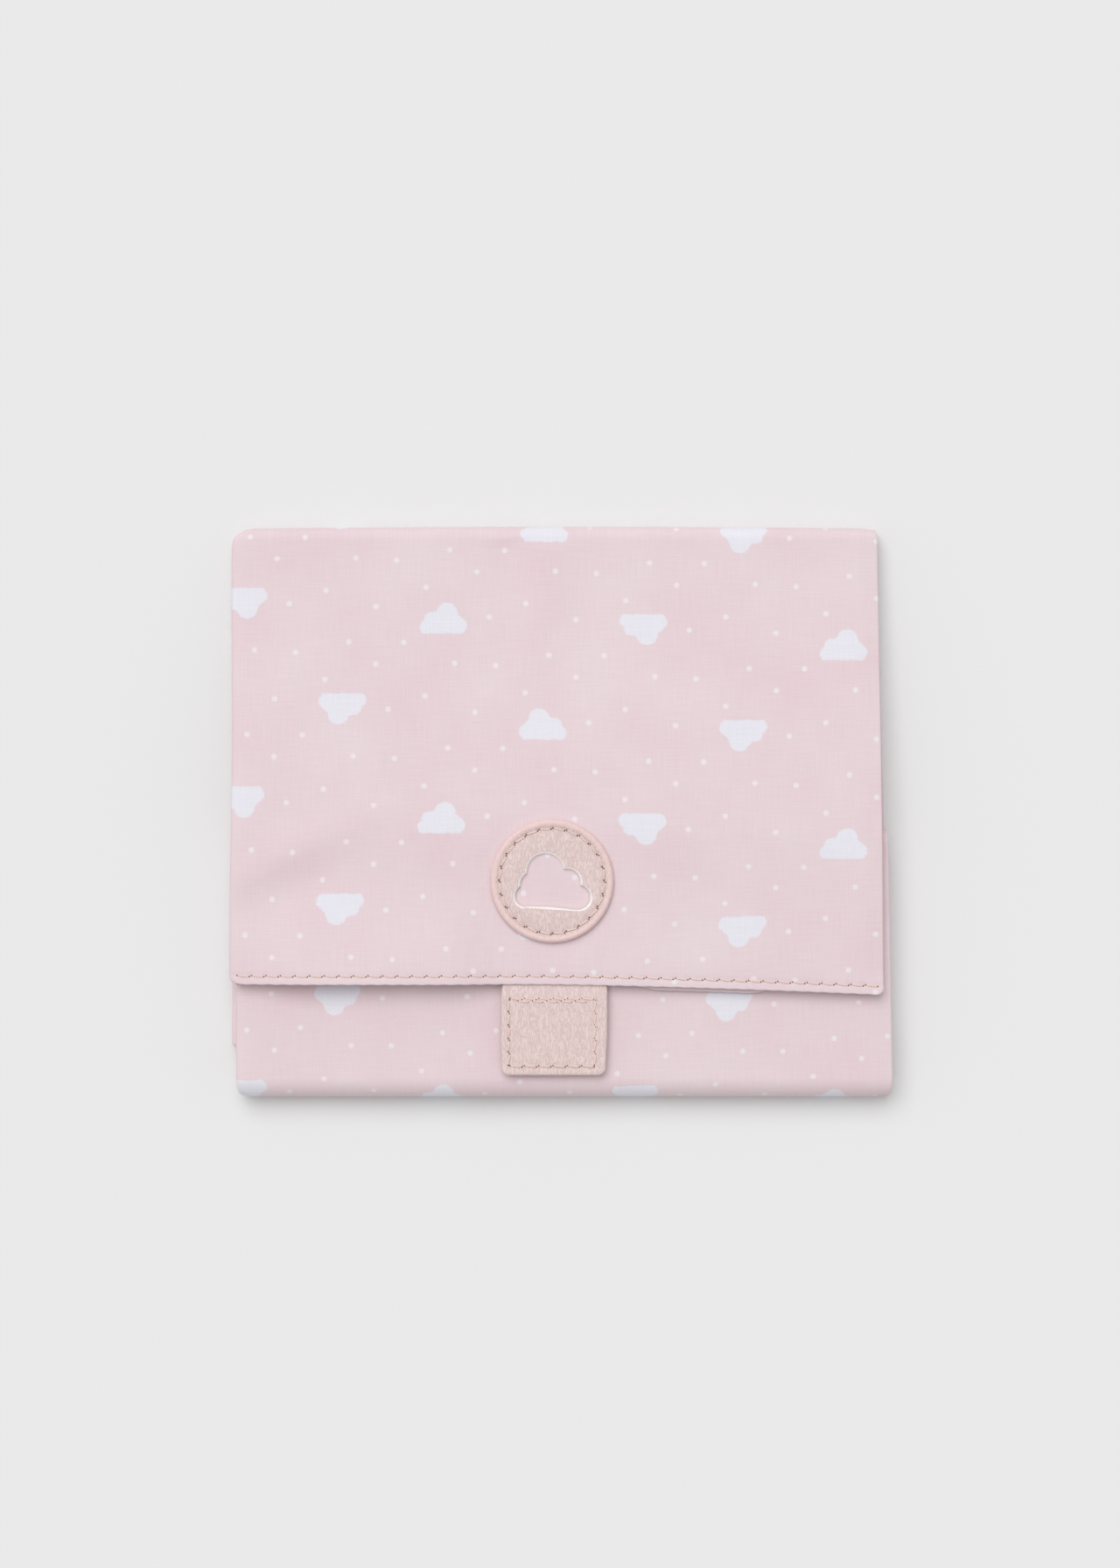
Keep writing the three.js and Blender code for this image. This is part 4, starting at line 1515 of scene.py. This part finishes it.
@dataclass
class Closure:
    """The closing tab under the flap's hem, its hook strip, and the loop strip sewn to the front panel.

    Attributes:
        tab, backing, hooks, loops: the four plates.
        stitch_box: left, right, top and bottom of the tab's box of stitches, in millimetres like every size.
        stitch_pitch: the stitch length on the tab.
        second_row: how far a second row lies under the box's top.
        second_stitches: how many stitch lengths the second row is divided into.
        sunk: the share of a plate's thickness at which its thread runs.
        loop_inset, loop_pitch: the loop strip's stitches, in from its edge, and their length.
        loop_thread_rise: how far over the loop strip's underside its thread runs.
        bend: where the tab starts and ends its bend, from the flap's hem outwards.
    """

    tab: Plate
    backing: Plate
    hooks: Plate
    loops: Plate
    stitch_box: tuple[float, float, float, float] = (-18.5, 11.65, -65.3, -88.8)
    stitch_pitch: float = 5.2
    second_row: float = 0.9
    second_stitches: int = 6
    sunk: float = 0.87
    loop_inset: float = 0.4
    loop_pitch: float = 4.0
    loop_thread_rise: float = 0.85
    bend: tuple[tuple[float, float, float], ...] = ((0, -61.6, 18), (0, -65.0, 18))

    def tab_sewing(self) -> tuple[np.ndarray, np.ndarray]:
        """The ends of the tab's box of stitches, with a second row along its top."""
        left, right, top, bottom = self.stitch_box
        first, last = box_stitches(left, right, top, bottom, self.stitch_pitch)
        step = (right - left) / self.second_stitches
        x = left + step * (np.arange(self.second_stitches - 1) + 0.5)
        y = np.full_like(x, top - self.second_row)
        first = np.concatenate([first, np.stack([x + 0.4, y], -1)])
        last = np.concatenate([last, np.stack([x + step - 0.4, y], -1)])
        z = np.full((len(first), 1), self.tab.low + self.sunk * self.tab.thick)
        return np.hstack([first, z]), np.hstack([last, z])

    def loop_sewing(self) -> tuple[np.ndarray, np.ndarray]:
        """The ends of the stitches that hold the loop strip to the front panel."""
        low, high = corners_of("front_loop_tape_stitching")
        inset = self.loop_inset
        box = (low[0] + inset, high[0] - inset, high[1] - inset, low[1] + inset)
        first, last = box_stitches(*box, self.loop_pitch)
        z = np.full((len(first), 1), self.loops.low + self.loop_thread_rise)
        return np.hstack([first, z]), np.hstack([last, z])


def corners_of(node: str) -> tuple[np.ndarray, np.ndarray]:
    """The lowest and highest corner of a part of the frame, in millimetres."""
    low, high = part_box(node)
    return np.array(low) / MM, np.array(high) / MM


def make_closure() -> Closure:
    """Takes the closure's sizes from the frame, in millimetres.

    Returns:
        The closure, its four plates not yet made into meshes.
    """
    low, high = corners_of("tab_face")
    hook_low, hook_high = corners_of("tab_hook_tape")
    loop_low, loop_high = corners_of("front_loop_tape")
    tuck, inset, backing_low = 4.2, 0.3, 16.5
    shape = {"bow": 0.4, "taper": 0.7, "root_drop": 0.5}
    top = high[1] + tuck
    face_box = (low[0], high[0], top, low[1])
    backing_box = (low[0] + inset, high[0] - inset, top - 0.4, low[1] + inset)
    hook_box = (hook_low[0], hook_high[0], hook_high[1], hook_low[1])
    loop_box = (loop_low[0], loop_high[0], loop_high[1], loop_low[1])
    return Closure(
        tab=Plate("closing_tab", *face_box, low=low[2], thick=high[2] - low[2], groove=2.6, **shape),
        backing=Plate("closing_tab_backing", *backing_box, low=backing_low, thick=0.68, **shape),
        hooks=Plate("hook_strip", *hook_box, low=hook_low[2], thick=1.08, corner=1.2),
        loops=Plate("loop_strip", *loop_box, low=loop_low[2], thick=0.95, corner=1.2),
    )


def main() -> None:
    """Builds the camera, the mat, the badge, the closure and the studio, and logs which body each piece
    rides on or lies between.
    """
    logging.basicConfig(level=logging.INFO, format="%(message)s")
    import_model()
    cad_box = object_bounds()
    studio = Studio()
    studio.camera()

    cotton, lining = PrintedCotton().build(), WipeCleanLining().build()
    # Each leatherette's second colour is painted shade, down in its wrinkles.
    leather = Leatherette().build()
    # The badge's rim is drawn pinker than its face, with shallower wrinkles; its window's wall shows a pale
    # core.
    turned_edge = Leatherette("turned_leatherette_edge", "#ebd0cd", "#e4c5c3", 0.2, 0.55).build()
    cut_edge = Leatherette("cut_leatherette_edge", "#fbf6f3", "#f3ebe7", 0.1, 0.6).build()
    # The tab's underside is brushed, so it is duller than its face.
    suede = Leatherette("brushed_leatherette_back", "#e9d3ce", "#dcc2bd", 0.25, 0.8).build()
    thread = SewingThread().build()
    hook = PileTape("nylon_hook_tape", "#f2e8e5", 1.2, 0.8).build()
    loop = PileTape("nylon_loop_tape", "#edd8db", 0.9, 0.5).build()

    mat = Mat()
    pads = mat.build(cotton, lining)
    front_nodes = [*panel("front"), *panel("end"), *fold("inner_fold")]
    seat(pads["padded_flap"], "flap", "printed_cotton", *panel("flap"), "tab_sewn_in_end")
    seat(pads["padded_back"], "back", "printed_cotton", *panel("back"))
    seat(pads["padded_front"], "front", "printed_cotton", *front_nodes)
    top_bend, bottom_bend = mat.bends()
    top_nodes, bottom_nodes = fold("top_fold"), fold("bottom_fold")
    span(pads["padded_top_fold"], ("back", "flap"), *top_bend, "printed_cotton", *top_nodes)
    span(pads["padded_bottom_fold"], ("back", "front"), *bottom_bend, "printed_cotton", *bottom_nodes)

    seat(sew("flap_hem_thread", *mat.hem_stitches(False), thread), "flap", "thread", "flap_hem_stitching")
    seat(sew("end_hem_thread", *mat.hem_stitches(True), thread), "front", "thread", "end_hem_stitching")

    badge = Badge()
    disc = badge.make([leather, turned_edge, cut_edge])
    seat(disc, "flap", "leatherette", "badge_disc")
    seat(sew("badge_thread", *badge.sewing(), thread), "flap", "thread", "badge_stitching")

    closure = make_closure()
    tab, backing = closure.tab.make(leather), closure.backing.make(suede)
    span(tab, ("flap", "tab"), *closure.bend, "leatherette", "tab_face")
    span(backing, ("flap", "tab"), *closure.bend, "leatherette_backing", "tab_backing")
    seat(sew("tab_thread", *closure.tab_sewing(), thread), "tab", "thread", "tab_stitching")
    seat(closure.hooks.make(hook), "tab", "hook_tape", "tab_hook_tape")
    seat(closure.loops.make(loop), "front", "loop_tape", "front_loop_tape")
    loop_thread = sew("loop_strip_thread", *closure.loop_sewing(), thread)
    seat(loop_thread, "front", "thread", "front_loop_tape_stitching")

    studio.set_up()
    boxes = {"cad": cad_box, "visual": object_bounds()}
    {name: [list(corner) for corner in box] for name, box in boxes.items()}


if __name__ == "__main__":
    main()
